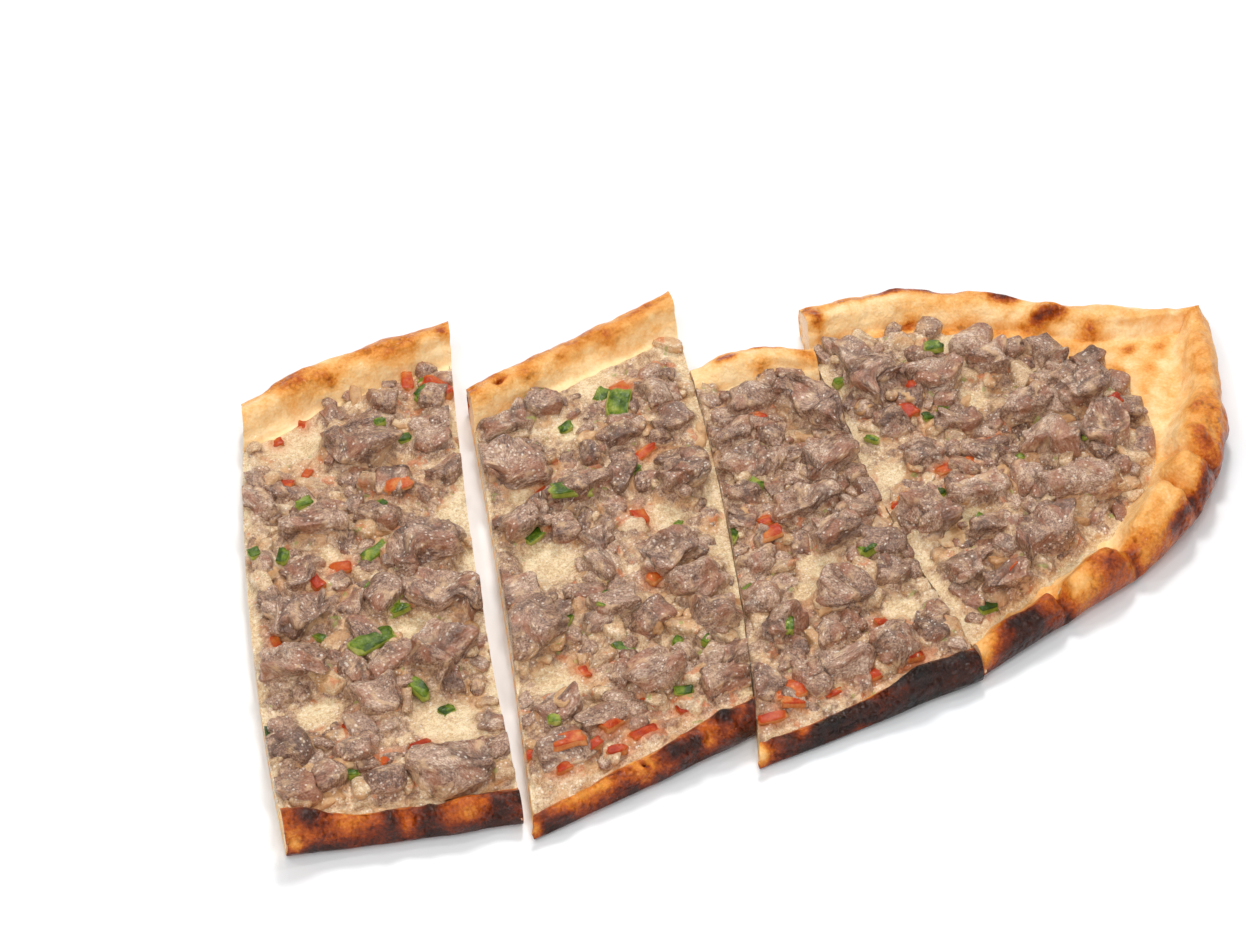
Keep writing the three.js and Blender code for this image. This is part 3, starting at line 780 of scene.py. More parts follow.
class Shader:
    """A material's node tree, with a short call for each kind of node that the finishes use."""

    def __init__(self, name: str) -> None:
        """Starts a material with a Principled shader and nothing else."""
        self.material = bpy.data.materials.new(name)
        self.material.use_nodes = True
        self.nodes = self.material.node_tree.nodes
        self.links = self.material.node_tree.links
        self.surface = self.nodes["Principled BSDF"]
        self.place = self.nodes.new("ShaderNodeTexCoord").outputs["Object"]

    def put(self, node: bpy.types.Node, *values: object, **named: object) -> bpy.types.Node:
        """Links sockets to a node's inputs, or sets them to numbers or colours, by order or by name."""
        for key, value in (*enumerate(values), *((key.replace("_", " "), v) for key, v in named.items())):
            if isinstance(value, Socket):
                self.links.new(value, node.inputs[key])
            elif value is not None:
                node.inputs[key].default_value = value
        return node

    def mark(self, name: str, part: str = "Fac") -> Socket:
        """A value that the mesh carries at its points."""
        node = self.nodes.new("ShaderNodeAttribute")
        node.attribute_name = name
        return node.outputs[part]

    def stretched(self, vector: Socket, *scale: float) -> Socket:
        """Coordinates scaled along each axis, so that a pattern on them is drawn out."""
        node = self.nodes.new("ShaderNodeVectorMath")
        node.operation = "MULTIPLY"
        return self.put(node, vector, scale).outputs[0]

    def mottle(self, per_metre: float, detail: float = 3.0, rough: float = 0.55,
               vector: Socket | None = None) -> Socket:
        """Noise from 0 to 1 with so many bumps a metre."""
        node = self.nodes.new("ShaderNodeTexNoise")
        self.put(node, Vector=vector or self.place, Scale=per_metre, Detail=detail, Roughness=rough)
        return node.outputs["Fac"]

    def dots(self, per_metre: float, vector: Socket | None = None) -> tuple[Socket, Socket]:
        """Distance to the nearest of so many scattered points a metre, and a colour for each of them."""
        node = self.nodes.new("ShaderNodeTexVoronoi")
        self.put(node, Vector=vector or self.place, Scale=per_metre)
        return node.outputs["Distance"], node.outputs["Color"]

    def glint_dots(self, share: float, vector: Socket | None = None) -> Socket:
        """1 on tiny drops of fat, partly painted glints, 1000 cells a metre of which about that share has
        one.
        """
        away, shade = self.dots(1000, vector)
        chosen = self.math("GREATER_THAN", shade, 1 - share)
        return self.product(self.span(away, 0.192, 0.32, 1.0, 0.0), chosen)

    def math(self, kind: str, *values: object) -> Socket:
        """One sum of up to three values, such as SUBTRACT or MULTIPLY_ADD."""
        node = self.nodes.new("ShaderNodeMath")
        node.operation = kind
        return self.put(node, *values).outputs[0]

    def product(self, a: object, b: object) -> Socket:
        """a times b."""
        return self.math("MULTIPLY", a, b)

    def total(self, start: float, *terms: tuple[Socket, float]) -> Socket:
        """A number plus each value times its weight."""
        for value, weight in terms:
            start = self.math("MULTIPLY_ADD", value, weight, start)
        return start

    def span(self, value: Socket, low: float, high: float,
             to_low: float = 0.0, to_high: float = 1.0) -> Socket:
        """A value between low and high, turned smoothly into one between to_low and to_high."""
        node = self.nodes.new("ShaderNodeMapRange")
        node.interpolation_type = "SMOOTHSTEP"
        return self.put(node, value, low, high, to_low, to_high).outputs[0]

    def ramp(self, value: Socket, stops: Stops) -> Socket:
        """The colour at a value, from colours at rising places."""
        node = self.put(self.nodes.new("ShaderNodeValToRGB"), value)
        bar = node.color_ramp.elements
        for place, _ in stops[2:]:
            bar.new(place)
        for element, (place, code) in zip(bar, stops):
            element.position = place
            element.color = colour(code)
        return node.outputs["Color"]

    def blend(self, share: object, a: Socket | tuple, b: Socket | str) -> Socket:
        """Two colours mixed by a share; the second may be a screen colour."""
        node = self.nodes.new("ShaderNodeMix")
        node.data_type = "RGBA"
        self.put(node, share, None, None, None, None, None, a, colour(b) if isinstance(b, str) else b)
        return node.outputs[2]

    def relief(self, *layers: tuple[Socket, float], under: Socket | None = None) -> Socket:
        """Normals of reliefs, each so many metres deep, one on top of the other."""
        for height, depth in layers:
            node = self.nodes.new("ShaderNodeBump")
            under = self.put(node, Strength=1.0, Distance=depth, Height=height, Normal=under).outputs[0]
        return under

    def finish(self, **sockets: object) -> bpy.types.Material:
        """Sets the shader's inputs, named with underscores for spaces, and returns the material."""
        self.put(self.surface, **sockets)
        return self.material

    def finish_moist(self, base: Socket, fine: Socket, relief: Socket, glints: Socket,
                     depth: float, colours: tuple[float, float, float]) -> bpy.types.Material:
        """Finishes a wet surface of fat or meat under a clear film.

        Args:
            base: its colour.
            fine: noise that its roughness follows.
            relief: its normals.
            glints: noise that breaks up the film's glints.
            depth: how much light goes into it.
            colours: how far red, green and blue go in, in metres.

        Returns:
            The finished material.
        """
        return self.finish(
            Base_Color=base,
            Roughness=self.span(fine, 0.35, 0.65, 0.36, 0.55),
            Specular_IOR_Level=0.4,
            Normal=relief,
            Coat_Weight=0.9,
            Coat_Roughness=0.1,
            Coat_Normal=self.relief((glints, 0.0008), under=relief),
            Subsurface_Weight=depth,
            Subsurface_Radius=colours,
            Subsurface_Scale=0.4,
        )


@dataclass(frozen=True)
class BakedDough:
    """Bread that goes from pale through golden and brown to black with the mark "toast".

    Args:
        stops: colours by brownness.
        crumb: colour inside, where the mark "crumb" is 1.
        pore_shade: colour of the crumb's hollows, a painted shade.
    """

    stops: Stops = (
        (0.0, "ffecc4"), (0.18, "ffdca4"), (0.34, "f3b568"), (0.48, "e08c2e"), (0.6, "b8540a"),
        (0.72, "7a2a02"), (0.84, "3c1404"), (1.0, "160a05"),
    )
    crumb: str = "ffdfba"
    pore_shade: str = "e0a678"

    def material(self) -> bpy.types.Material:
        """Builds the material."""
        s = Shader("baked_dough")
        toast, crumb = s.mark("toast"), s.mark("crumb")
        uneven = s.total(-0.32, (s.mottle(300, 4), 0.36), (s.mottle(1500, 3, 0.6), 0.28))
        brown = s.math("MULTIPLY_ADD", uneven, s.span(toast, 0.0, 0.4, 0.3, 1.0), toast)
        pores = s.span(s.math("MULTIPLY_ADD", s.mottle(700, 3), 0.7, s.dots(480)[0]), 0.42, 0.72)
        # The crumb's hollows take a painted shade.
        inside = s.blend(pores, colour(self.pore_shade), self.crumb)
        blisters = s.product(s.span(s.dots(420)[0], 0.1, 0.6, 1.0, 0.0), s.span(toast, 0.3, 0.6))
        holes = s.product(crumb, s.math("SUBTRACT", 1.0, pores))
        relief = s.relief(
            (s.mottle(330, 3, 0.45), 0.0009),
            (blisters, 0.0007),
            (s.mottle(1700, 1), 0.00016),
            (s.product(holes, -1.0), 0.0005),
        )
        return s.finish(
            Base_Color=s.blend(crumb, s.ramp(brown, self.stops), inside),
            Roughness=s.span(brown, 0.25, 0.7, 0.6, 0.34),
            Specular_IOR_Level=0.1,
            Normal=relief,
            Coat_Weight=0.5,
            Coat_Roughness=0.12,
            Coat_Normal=s.relief((s.mottle(2000, 2), 0.0005), under=relief),
            Subsurface_Weight=0.05,
            Subsurface_Radius=(0.004, 0.002, 0.001),
            Subsurface_Scale=0.4,
        )


@dataclass(frozen=True)
class SoftFat:
    """The moist layer of fat, onion, fine mince and juices: pale where bare, browner near the meat.

    Args:
        bare: colours of the bare bread under its juices, from its hollows to its bumps.
        beige: colours of the fat and onion.
        mince: colours of the fine crumbs of meat.
        specks: patches of oil, stains of tomato pulp and specks of pepper: the colour of each, its
            patches a metre, their detail and the noise between which they fade in.
        stained: colour of tomato pulp.
        deep: colour of the painted shade between crumbs.
        glint_colour: near-white colour of tiny drops of fat, which are partly painted glints.
    """

    bare: Stops = ((0.38, "d0a87c"), (0.48, "e8ca9a"), (0.6, "f8e4bc"))
    beige: Stops = ((0.34, "a87e58"), (0.43, "c69c74"), (0.5, "d8b48a"), (0.58, "e8caa2"), (0.68, "f8e4c2"))
    mince: Stops = ((0.34, "74503a"), (0.43, "997459"), (0.5, "b48e70"), (0.58, "cca88a"), (0.68, "ead0b2"))
    specks: tuple[tuple[str, float, float, float, float, float], ...] = (
        ("d69c60", 150, 4, 0.5, 0.64, 0.6),
        ("d46e2c", 190, 3, 0.6, 0.67, 0.6),
        ("98a046", 340, 1, 0.68, 0.74, 0.7),
    )
    stained: str = "d46e2c"
    deep: str = "7e4f33"
    glint_colour: str = "fff3e2"

    def material(self) -> bpy.types.Material:
        """Builds the material."""
        s = Shader("soft_fat")
        wide, fine, grit = s.mottle(210, 4), s.mottle(1100, 3, 0.6), s.mottle(2800, 1)
        both = s.total(-0.2, (wide, 0.4), (fine, 0.48), (grit, 0.42), (s.mark("tone"), 0.1))
        meaty = s.total(-1.2, (s.mark("meat"), 1.0), (s.mottle(330, 4, 0.6), 2.4))
        layer = s.blend(s.span(meaty, 0.25, 0.95), s.ramp(both, self.beige), s.ramp(both, self.mince))
        for tint, per_metre, detail, low, high, most in self.specks:
            layer = s.blend(s.span(s.mottle(per_metre, detail), low, high, 0.0, most), layer, tint)
        near = s.total(-0.6, (s.mark("near"), 1.0), (s.mottle(420, 4), 1.2))
        base = s.blend(s.span(near, 0.15, 0.65), s.ramp(both, self.bare), layer)
        # Painted shade: the deep colour between the crumbs of mince.
        base = s.blend(s.product(s.mark("cleft"), 0.6), base, self.deep)
        base = s.blend(s.product(s.mark("stain"), s.span(wide, 0.35, 0.6, 0.35, 1.0)), base, self.stained)
        # Near-white drops of fat, partly painted glints.
        base = s.blend(s.product(s.glint_dots(0.4), 0.6), base, self.glint_colour)
        relief = s.relief((s.mottle(600, 4, 0.6), 0.0008), (grit, 0.0002))
        return s.finish_moist(base, fine, relief, s.mottle(1000, 2), 0.06, (0.003, 0.0018, 0.001))


@dataclass(frozen=True)
class CookedLamb:
    """Moist browned lamb: a fine wet grain, faint fibres along each piece and fat that clings to it.

    Args:
        stops: colours from its hollows to its bumps.
        ruddy: colour of its redder patches.
        fat: colour of the fat that clings to its foot and in streaks.
        deep: colour of the painted shade in its cracks.
        glint_colour: near-white colour of tiny drops of fat, which are partly painted glints.
    """

    stops: Stops = ((0.34, "624030"), (0.43, "89644e"), (0.5, "a67f66"), (0.58, "bf9b82"), (0.68, "e6cab0"))
    ruddy: str = "a4603c"
    fat: str = "dfb78c"
    deep: str = "4a2a1a"
    glint_colour: str = "fff2e0"

    def material(self) -> bpy.types.Material:
        """Builds the material, whose patterns follow the mark "grain", a place in the lump's own axes."""
        s = Shader("cooked_lamb")
        grain = s.mark("grain", "Vector")
        fibres = s.mottle(800, 2, 0.5, s.stretched(grain, 0.3, 1.0, 0.8))
        wide, fine = s.mottle(230, 4, 0.6, grain), s.mottle(1100, 3, 0.6, grain)
        grit = s.mottle(2800, 1, 0.5, grain)
        layers = ((wide, 0.35), (fibres, 0.12), (fine, 0.44), (grit, 0.45))
        value = s.total(-0.28, *layers, (s.mark("tone"), 0.2))
        patches = s.mottle(150, 3, 0.5, s.stretched(grain, 1.3, 1.0, 1.7))
        lean = s.blend(s.span(patches, 0.5, 0.64, 0.0, 0.6), s.ramp(value, self.stops), self.ruddy)
        low = s.span(s.mark("rise"), 0.05, 0.6, 0.2, 0.0)
        clings = s.span(s.math("ADD", s.mottle(300, 4, 0.6, grain), low), 0.52, 0.7, 0.0, 0.8)
        lean = s.blend(clings, lean, self.fat)
        # Painted shade in the cracks and between the bundles.
        lean = s.blend(s.product(s.mark("cleft"), 0.6), lean, self.deep)
        # Near-white drops of fat, partly painted glints.
        lean = s.blend(s.product(s.glint_dots(0.42, grain), 0.55), lean, self.glint_colour)
        relief = s.relief((s.mottle(600, 4, 0.6, grain), 0.0009), (fibres, 0.0003), (grit, 0.0002))
        return s.finish_moist(lean, fine, relief, s.mottle(1000, 2, 0.5, grain), 0.1, (0.003, 0.0014, 0.001))


@dataclass(frozen=True)
class CutVegetable:
    """A moist cut vegetable: skin on its broad faces and paler flesh at its cut sides.

    Args:
        name: the material's name.
        skin: colours of the skin, dark to light.
        flesh: colours of the flesh, dark to light.
        clear: how much light goes into it, from 0 to 1.
    """

    name: str
    skin: Stops
    flesh: Stops
    clear: float

    def material(self) -> bpy.types.Material:
        """Builds the material."""
        s = Shader(self.name)
        wide, fine = s.mottle(380, 3), s.mottle(1700, 3)
        value = s.total(0.0, (wide, 0.5), (fine, 0.2), (s.mark("tone"), 0.3))
        share = s.span(s.math("MULTIPLY_ADD", fine, 0.3, s.mark("flesh")), 0.4, 0.8)
        relief = s.relief((s.mottle(600, 3), 0.0004), (fine, 0.00015))
        return s.finish(
            Base_Color=s.blend(share, s.ramp(value, self.skin), s.ramp(value, self.flesh)),
            Roughness=s.span(share, 0.0, 1.0, 0.3, 0.45),
            Specular_IOR_Level=0.12,
            Normal=relief,
            Coat_Weight=0.45,
            Coat_Roughness=0.05,
            Coat_Normal=s.relief((s.mottle(1100, 1), 0.0005), under=relief),
            Subsurface_Weight=self.clear,
            Subsurface_Radius=(0.003, 0.003, 0.002),
            Subsurface_Scale=0.5,
        )


GREEN_PEPPER = CutVegetable(
    "green_pepper",
    ((0.3, "1e3004"), (0.46, "3a5408"), (0.56, "667c1a"), (0.7, "a8a844")),
    ((0.3, "66761c"), (0.5, "929a38"), (0.7, "c6c272")),
    0.05,
)
RED_TOMATO = CutVegetable(
    "red_tomato",
    ((0.3, "8c2002"), (0.46, "b43606"), (0.58, "c45a1c"), (0.72, "d28842")),
    ((0.3, "ac481a"), (0.5, "c87438"), (0.7, "dea46c")),
    0.1,
)
SOFT_ONION = CutVegetable(
    "soft_onion",
    ((0.3, "96683f"), (0.44, "bc8a5c"), (0.56, "d4aa7c"), (0.7, "eccea6")),
    ((0.3, "9c6e46"), (0.44, "c09062"), (0.56, "d8b084"), (0.7, "eed2ac")),
    0.12,
)


# ---------------------------------------------------------------- bread


def ways(line: Array) -> Array:
    """How far along a line of points each of them lies, in plan."""
    steps = np.linalg.norm(np.diff(line[:, :2], axis=0), axis=1)
    return np.concatenate([[0], np.cumsum(steps)])


@dataclass
class BreadSlice:
    """One slice of bread with its raised rims, toasted skin and open crumb at the cuts.

    Args:
        plan: the slice's plan.
        number: its number, from the left.
        columns: steps from cut to cut.
        inner_rows: steps from a rim to the spine.
        rim_rows: steps across a rim.
        under_rows: steps across the underside, an even number.
        cut_rows: steps down a cut face.
        crowding: power that crowds the rows of a rim at its edge.
        curl: share of half the underside's rows that lie on its curved border.
        curl_crowding: power that crowds those at the edge.
    """

    plan: SlicePlan
    number: int
    columns: int
    inner_rows: int
    rim_rows: int = 32
    under_rows: int = 40
    cut_rows: int = 7
    crowding: float = 1.35
    curl: float = 0.25
    curl_crowding: float = 1.4

    def rows(self, u: Array) -> Array:
        """Where the upper face's rows cross each line, from the front edge to the back edge."""
        across = (np.arange(self.rim_rows + 1) / self.rim_rows) ** self.crowding
        inner = (np.arange(self.inner_rows) + 1) / self.inner_rows

        def side(rim: Array, length: Array) -> Array:
            """Rows from an edge to the spine."""
            return np.concatenate([across * rim, mix(rim, length, inner)], 1)

        front, back, length = self.both_sides(u, side)
        return np.concatenate([front, (length - back)[:, -2::-1]], 1)

    def underside(self, u: Array) -> Array:
        """Where the underside's rows cross each line, from the back edge to the front edge."""
        t = np.linspace(0, 1, self.under_rows // 2 + 1)
        bend = np.where(t < self.curl, UNDERSIDE * (t / self.curl) ** self.curl_crowding, 0.0)
        inner = np.clip((t - self.curl) / (1 - self.curl), 0, 1)

        def side(rim: Array, length: Array) -> Array:
            """Rows from an edge to the spine."""
            return np.where(t < self.curl, bend * rim, mix(UNDERSIDE * rim, length, inner))

        front, back, length = self.both_sides(u, side)
        return np.concatenate([length - back, front[:, -2::-1]], 1)

    def both_sides(self, u: Array, side: Callable[[Array, Array], Array]) -> tuple[Array, Array, Array]:
        """Rows from the front edge, rows from the back edge and the lines' lengths, at shares u."""
        first, second = (length[:, None] for length in self.plan.lengths(u))
        width, _, back_width, _ = (rim[:, None] for rim in self.plan.rims(u))
        return side(width, first), side(back_width, second), first + second

    def toast(self, u: Array, s: Array, points: Array, below: Array) -> Array:
        """How brown the skin is, from 0 to 1.

        Across a rim it rises from pale on the inner slope to the rim's bake at the crest, and goes on
        down the outer side, growing darker towards its foot: partly more toast, partly painted shade.
        Noise mottles it. Patches pull it to their own level by a bell with ragged sides, and pinches and
        folds are a little darker.

        Args:
            u: shares from cut to cut.
            s: ways from the front edge.
            points: the same places as points.
            below: whether each place is on the underside.

        Returns:
            Brownness for each point.
        """
        spec = self.plan.spec
        front, back = spec.front_rim, spec.back_rim
        way, width, _, ahead = self.plan.inward(u, s)
        share = way / width
        bake = np.where(ahead, along(front.bake, u), along(back.bake, u))
        height = np.where(ahead, along(front.heights, u), along(back.heights, u))
        flat = mix(min(spec.flat, SLOPE_PALE), spec.flat, smooth(0.7, 1.0, share))
        value = mix(flat, bake, smooth(1.0, CREST, share) ** np.where(ahead, 1.0, 1.6))
        # Darker towards the foot of a rim's outer side: partly more toast, partly painted shade.
        low = smooth(0.8, 0.05, points[..., 2] / height) * (share < CREST)
        value += np.where(ahead, 0.2, 0.12) * low - 0.03 * ahead
        fades = smooth(0.1, 0.4, value) * (1 - 0.6 * smooth(0.7, 1.0, value))
        value += 0.22 * layered(points, 9, Pattern.MOTTLE) * fades
        value += 0.05 * layered(points, 3, Pattern.FINE_MOTTLE)
        base = 0.36 + 0.2 * layered(points, 12, Pattern.BASE)
        value = np.where(below, mix(value, base, smooth(0.12, UNDERSIDE, share)), value)
        ragged = 0.5 * layered(points, 5, Pattern.RAGGED, 4)
        for patch in self.plan.patches:
            away = self.patch_distance(patch, points) + ragged * min(1.0, 3.0 / patch.width)
            pull = bell(np.clip(away, 0, None)) * ~(below & (share > UNDERSIDE))
            value = mix(value, patch.level, pull)
        value += 0.12 * self.pinches(u, 0.008) * smooth(1.0, 0.8, share) * ahead
        value += 0.06 * self.folds(share, points) * ~ahead
        return np.clip(value, 0.02, 1.0)

    def pinches(self, u: Array, width: float) -> Array:
        """Lines across the front rim: a bell round each pinch, width being a share of the front edge."""
        return sum((bell((u - at) / width) for at, _ in self.plan.spec.creases), np.zeros_like(u))

    @staticmethod
    def folds(share: Array, points: Array) -> Array:
        """Two wavering lines along the inner slope, of which one gives way to the other by noise."""
        first = bell((share - 0.84 - 0.1 * noise(points, 16, Pattern.FOLD)) / 0.06)
        second = bell((share - 0.66 - 0.1 * noise(points, 22, Pattern.SECOND_FOLD)) / 0.06)
        strength = smooth(-0.5, 0.3, noise(points, 12, Pattern.WHICH_FOLD))
        return first * strength + 0.6 * second * (1 - strength)

    @staticmethod
    def patch_distance(patch: Patch, points: Array) -> Array:
        """Distance from a patch whose middle lies as high as the nearest point of the upper face."""
        x, y, z = np.moveaxis(points, -1, 0)
        top = points[:, :2 * points.shape[1] // 3]
        nearest = np.argmin(np.hypot(top[..., 0] - patch.x, top[..., 1] - patch.y))
        return patch.distance(x, y, z - top[..., 2].ravel()[nearest])

    def relief(self, u: Array, s: Array, points: Array, below: Array) -> Array:
        """How far the skin stands out.

        Broad and small noise, wrinkles drawn out along the rims by noise 9 mm long and 2.1 mm wide, wide
        noise for their bulges and bells for the blistered patches, less the folds of the back rim and
        the pinches of the front rim. Where the underside curves up, 0.3 of it is left.

        Args:
            u: shares from cut to cut.
            s: ways from the front edge.
            points: the same places as points.
            below: whether each place is on the underside.

        Returns:
            Millimetres along the normal for each point.
        """
        spec = self.plan.spec
        way, width, _, ahead = self.plan.inward(u, s)
        rim = smooth(1.1, 0.7, way / width)
        out = mix(0.18, 0.75, rim) * layered(points, 9, Pattern.BROAD)
        out += mix(0.08, 0.2, rim) * layered(points, 2.4, Pattern.SMALL, 2)
        run, z = ways(np.array(spec.front, float))[-1] * u, points[..., 2]
        side = np.where(ahead, 0.0, 50.0)
        wrinkles = np.stack([run / 9, way / 2.1 + z / 3, side], -1)
        out += 0.42 * rim * noise(wrinkles, 1.0, Pattern.WRINKLES)
        bulge = np.where(ahead, spec.front_rim.bulge, spec.back_rim.bulge)
        out += bulge * rim * noise(np.stack([run / 14, z / 16, side], -1), 1.0, Pattern.BULGES)
        for patch in self.plan.patches:
            if patch.height:
                out += 1.5 * patch.height * np.exp(-2.2 * self.patch_distance(patch, points) ** 2)
        out -= FOLD_DEPTH * self.folds(way / width, points) * ~ahead
        out -= PINCH_DEPTH * self.pinches(u, 0.009) * rim * ahead
        return np.where(below, 0.3 * out * smooth(0.0, 1.5, z), out)

    def build(self) -> bpy.types.Object:
        """A ring of rows round the slice, carried from cut to cut, with a face of crumb at each cut.

        Returns:
            The bread's object.
        """
        line = np.linspace(0, 1, self.columns + 1)
        top_s = self.rows(line)
        top_rows = top_s.shape[1]
        s = np.concatenate([top_s, self.underside(line)[:, 1:-1]], 1)
        u = np.broadcast_to(line[:, None], s.shape)
        below = np.broadcast_to(np.arange(s.shape[1]) >= top_rows, s.shape)
        height = np.where(below, self.plan.under(u, s), self.plan.top(u, s))
        points = np.concatenate([self.plan.at(u, s), height[..., None]], -1)
        out = self.relief(u, s, points, below)
        points = points + self.normals(points, top_rows) * out[..., None]
        points[..., 2] = np.where(below & (height <= 0), 0.0, np.maximum(points[..., 2], 0.0))
        toast = self.toast(u, s, points, below)
        shell = Shell()
        ring = shell.add(points, toast=toast, crumb=0.0)
        if self.plan.spec.pointed:
            self.close_point(ring[-1], top_rows)
        shell.faces.append(grid_quads(np.concatenate([ring, ring[:, :1]], 1)))
        self.add_cut(shell, ring[0], points[0], toast[0], top_rows, -1)
        if not self.plan.spec.pointed:
            self.add_cut(shell, ring[-1], points[-1], toast[-1], top_rows, 1)
        return shell.piece(f"bread_{self.number}")

    @staticmethod
    def normals(points: Array, top_rows: int) -> Array:
        """Directions straight out of the ring of rows, from the cross product of its two tangents."""
        down = np.gradient(points, axis=0)
        round_it = np.roll(points, -1, 1) - np.roll(points, 1, 1)
        cross = np.cross(down, round_it)
        cross /= np.maximum(np.linalg.norm(cross, axis=-1, keepdims=True), 1e-9)
        return cross if cross[:, top_rows // 2, 2].mean() > 0 else -cross

    @staticmethod
    def close_point(column: Array, top_rows: int) -> None:
        """Joins the two halves of the last column's vertices, which lie on each other at the point."""
        for first, last in ((0, top_rows - 1), (top_rows, len(column) - 1)):
            half = (last - first) // 2
            column[last - half + 1:last + 1] = column[first:first + half][::-1]

    def add_cut(self, shell: Shell, ring: Array, points: Array, toast: Array,
                top_rows: int, sign: int) -> None:
        """Closes a cut with rows of crumb between the upper face's border and the underside's.

        Rows lie at equal steps of the height. Noise presses them in as pores, less than 0.8 mm from the
        skin by a smooth step.

        Args:
            shell: the piece, added to.
            ring: vertex numbers of the ring's border column.
            points: the column's points.
            toast: the column's brownness.
            top_rows: how many of its points are on the upper face.
            sign: -1 at the left cut and 1 at the right cut.
        """
        upper = points[:top_rows]
        lower = np.concatenate([upper[:1], points[top_rows:][::-1], upper[-1:]])
        lower_ring = np.concatenate([ring[:1], ring[top_rows:][::-1], ring[top_rows - 1:top_rows]])
        upper_at, lower_at = ways(upper), ways(lower)
        foot = np.interp(upper_at, lower_at, lower[:, 2])
        levels = np.linspace(0, 1, self.cut_rows + 1)[1:-1, None]
        cut = np.repeat(upper[None], len(levels), 0)
        cut[..., 2] = mix(upper[:, 2], foot, levels)
        depth = np.minimum(upper[:, 2] - cut[..., 2], cut[..., 2] - foot)
        holes = np.clip(layered(cut, 2.2, Pattern.PORES, 2) + 0.15, 0, 1)
        holes += 0.8 * np.clip(noise(cut, 4, Pattern.HOLLOWS) - 0.25, 0, 1)
        cut[..., 0] -= sign * smooth(0, 0.8, depth) * (0.25 + 0.9 * holes)
        skin = toast[:top_rows] * np.exp(-depth / 0.9)
        rows = shell.add(cut, toast=np.clip(skin + 0.06, 0, 1), crumb=smooth(0.15, 1.0, depth))
        rows[:, 0], rows[:, -1] = ring[0], ring[top_rows - 1]
        shell.faces.append(grid_quads(np.concatenate([ring[None, :top_rows], rows])))
        shell.faces.append(zip_lines(rows[-1], lower_ring, upper_at, lower_at))


# ---------------------------------------------------------------- lumps


@dataclass(frozen=True)
class Lump:
    """A piece of meat or vegetable: where it lies, its size, its turn in degrees and its shape."""

    x: float
    y: float
    bottom: float
    length: float
    width: float
    height: float
    turn: float
    phases: tuple[float, ...]
    tilt: float = 0.0

    def foot_share(self, x: Array, y: Array) -> Array:
        """Distance from the middle, 1 at the oval foot."""
        turn, x, y = math.radians(self.turn), x - self.x, y - self.y
        lengthwise = x * math.cos(turn) + y * math.sin(turn)
        crosswise = y * math.cos(turn) - x * math.sin(turn)
        return np.hypot(lengthwise / (0.5 * self.length), crosswise / (0.5 * self.width))

    def outside(self, x: Array, y: Array) -> Array:
        """About how far points are outside the oval foot, and 0 inside it."""
        return np.clip((self.foot_share(x, y) - 1) * 0.25 * (self.length + self.width), 0, None)


def nearest_way(pieces: list[Lump], x: Array, y: Array) -> Array:
    """How far points are outside the nearest piece's foot."""
    away = np.full_like(x, np.inf)
    for piece in pieces:
        away = np.minimum(away, piece.outside(x, y))
    return away


def heaped(pieces: list[Lump], x: Array, y: Array, share: float, reach: float) -> Array:
    """The highest, over all pieces, of a share of the height times e to the power of -way / reach."""
    highest = np.zeros_like(x)
    for piece in pieces:
        highest = np.maximum(highest, share * piece.height * np.exp(-piece.outside(x, y) / reach))
    return highest


def unit_box(steps: int) -> tuple[Array, Array]:
    """A cube from -1 to 1 whose six faces are grids, with shared edges and facing outwards.

    Args:
        steps: faces along each edge.

    Returns:
        Its points and its four-cornered faces.
    """
    line = np.linspace(-1, 1, steps + 1)
    a, b = np.meshgrid(line, line, indexing="ij")
    sides, quads = [], []
    for axis in range(3):
        for sign in (-1.0, 1.0):
            parts = [a, b] if (sign > 0) != (axis == 1) else [b, a]
            parts.insert(axis, np.full_like(a, sign))
            quads.append(grid_quads(np.arange(a.size).reshape(a.shape) + len(sides) * a.size))
            sides.append(np.stack(parts, -1).reshape(-1, 3))
    points = np.concatenate(sides)
    _, first, shared = np.unique(np.round(points, 6), axis=0, return_index=True, return_inverse=True)
    return points[first], shared.ravel()[np.concatenate(quads)]


class Roughness(Enum):
    """How a lump is broken up.

    The numbers are the drift of its outline, the height of its lobes, the depth of its cracks, the
    height of its grain and the power of the distance by which its corners are pulled in.
    """

    TORN = (2.2, 0.72, 0.65, 0.36, -0.52)
    SCRAP = (2.1, 0.72, 0.4, 0.3, -0.52)
    CRUMB = (2.0, 0.9, 0.0, 0.3, -0.62)
    CUT = (1.3, 0.5, 0.0, 0.08, -0.45)


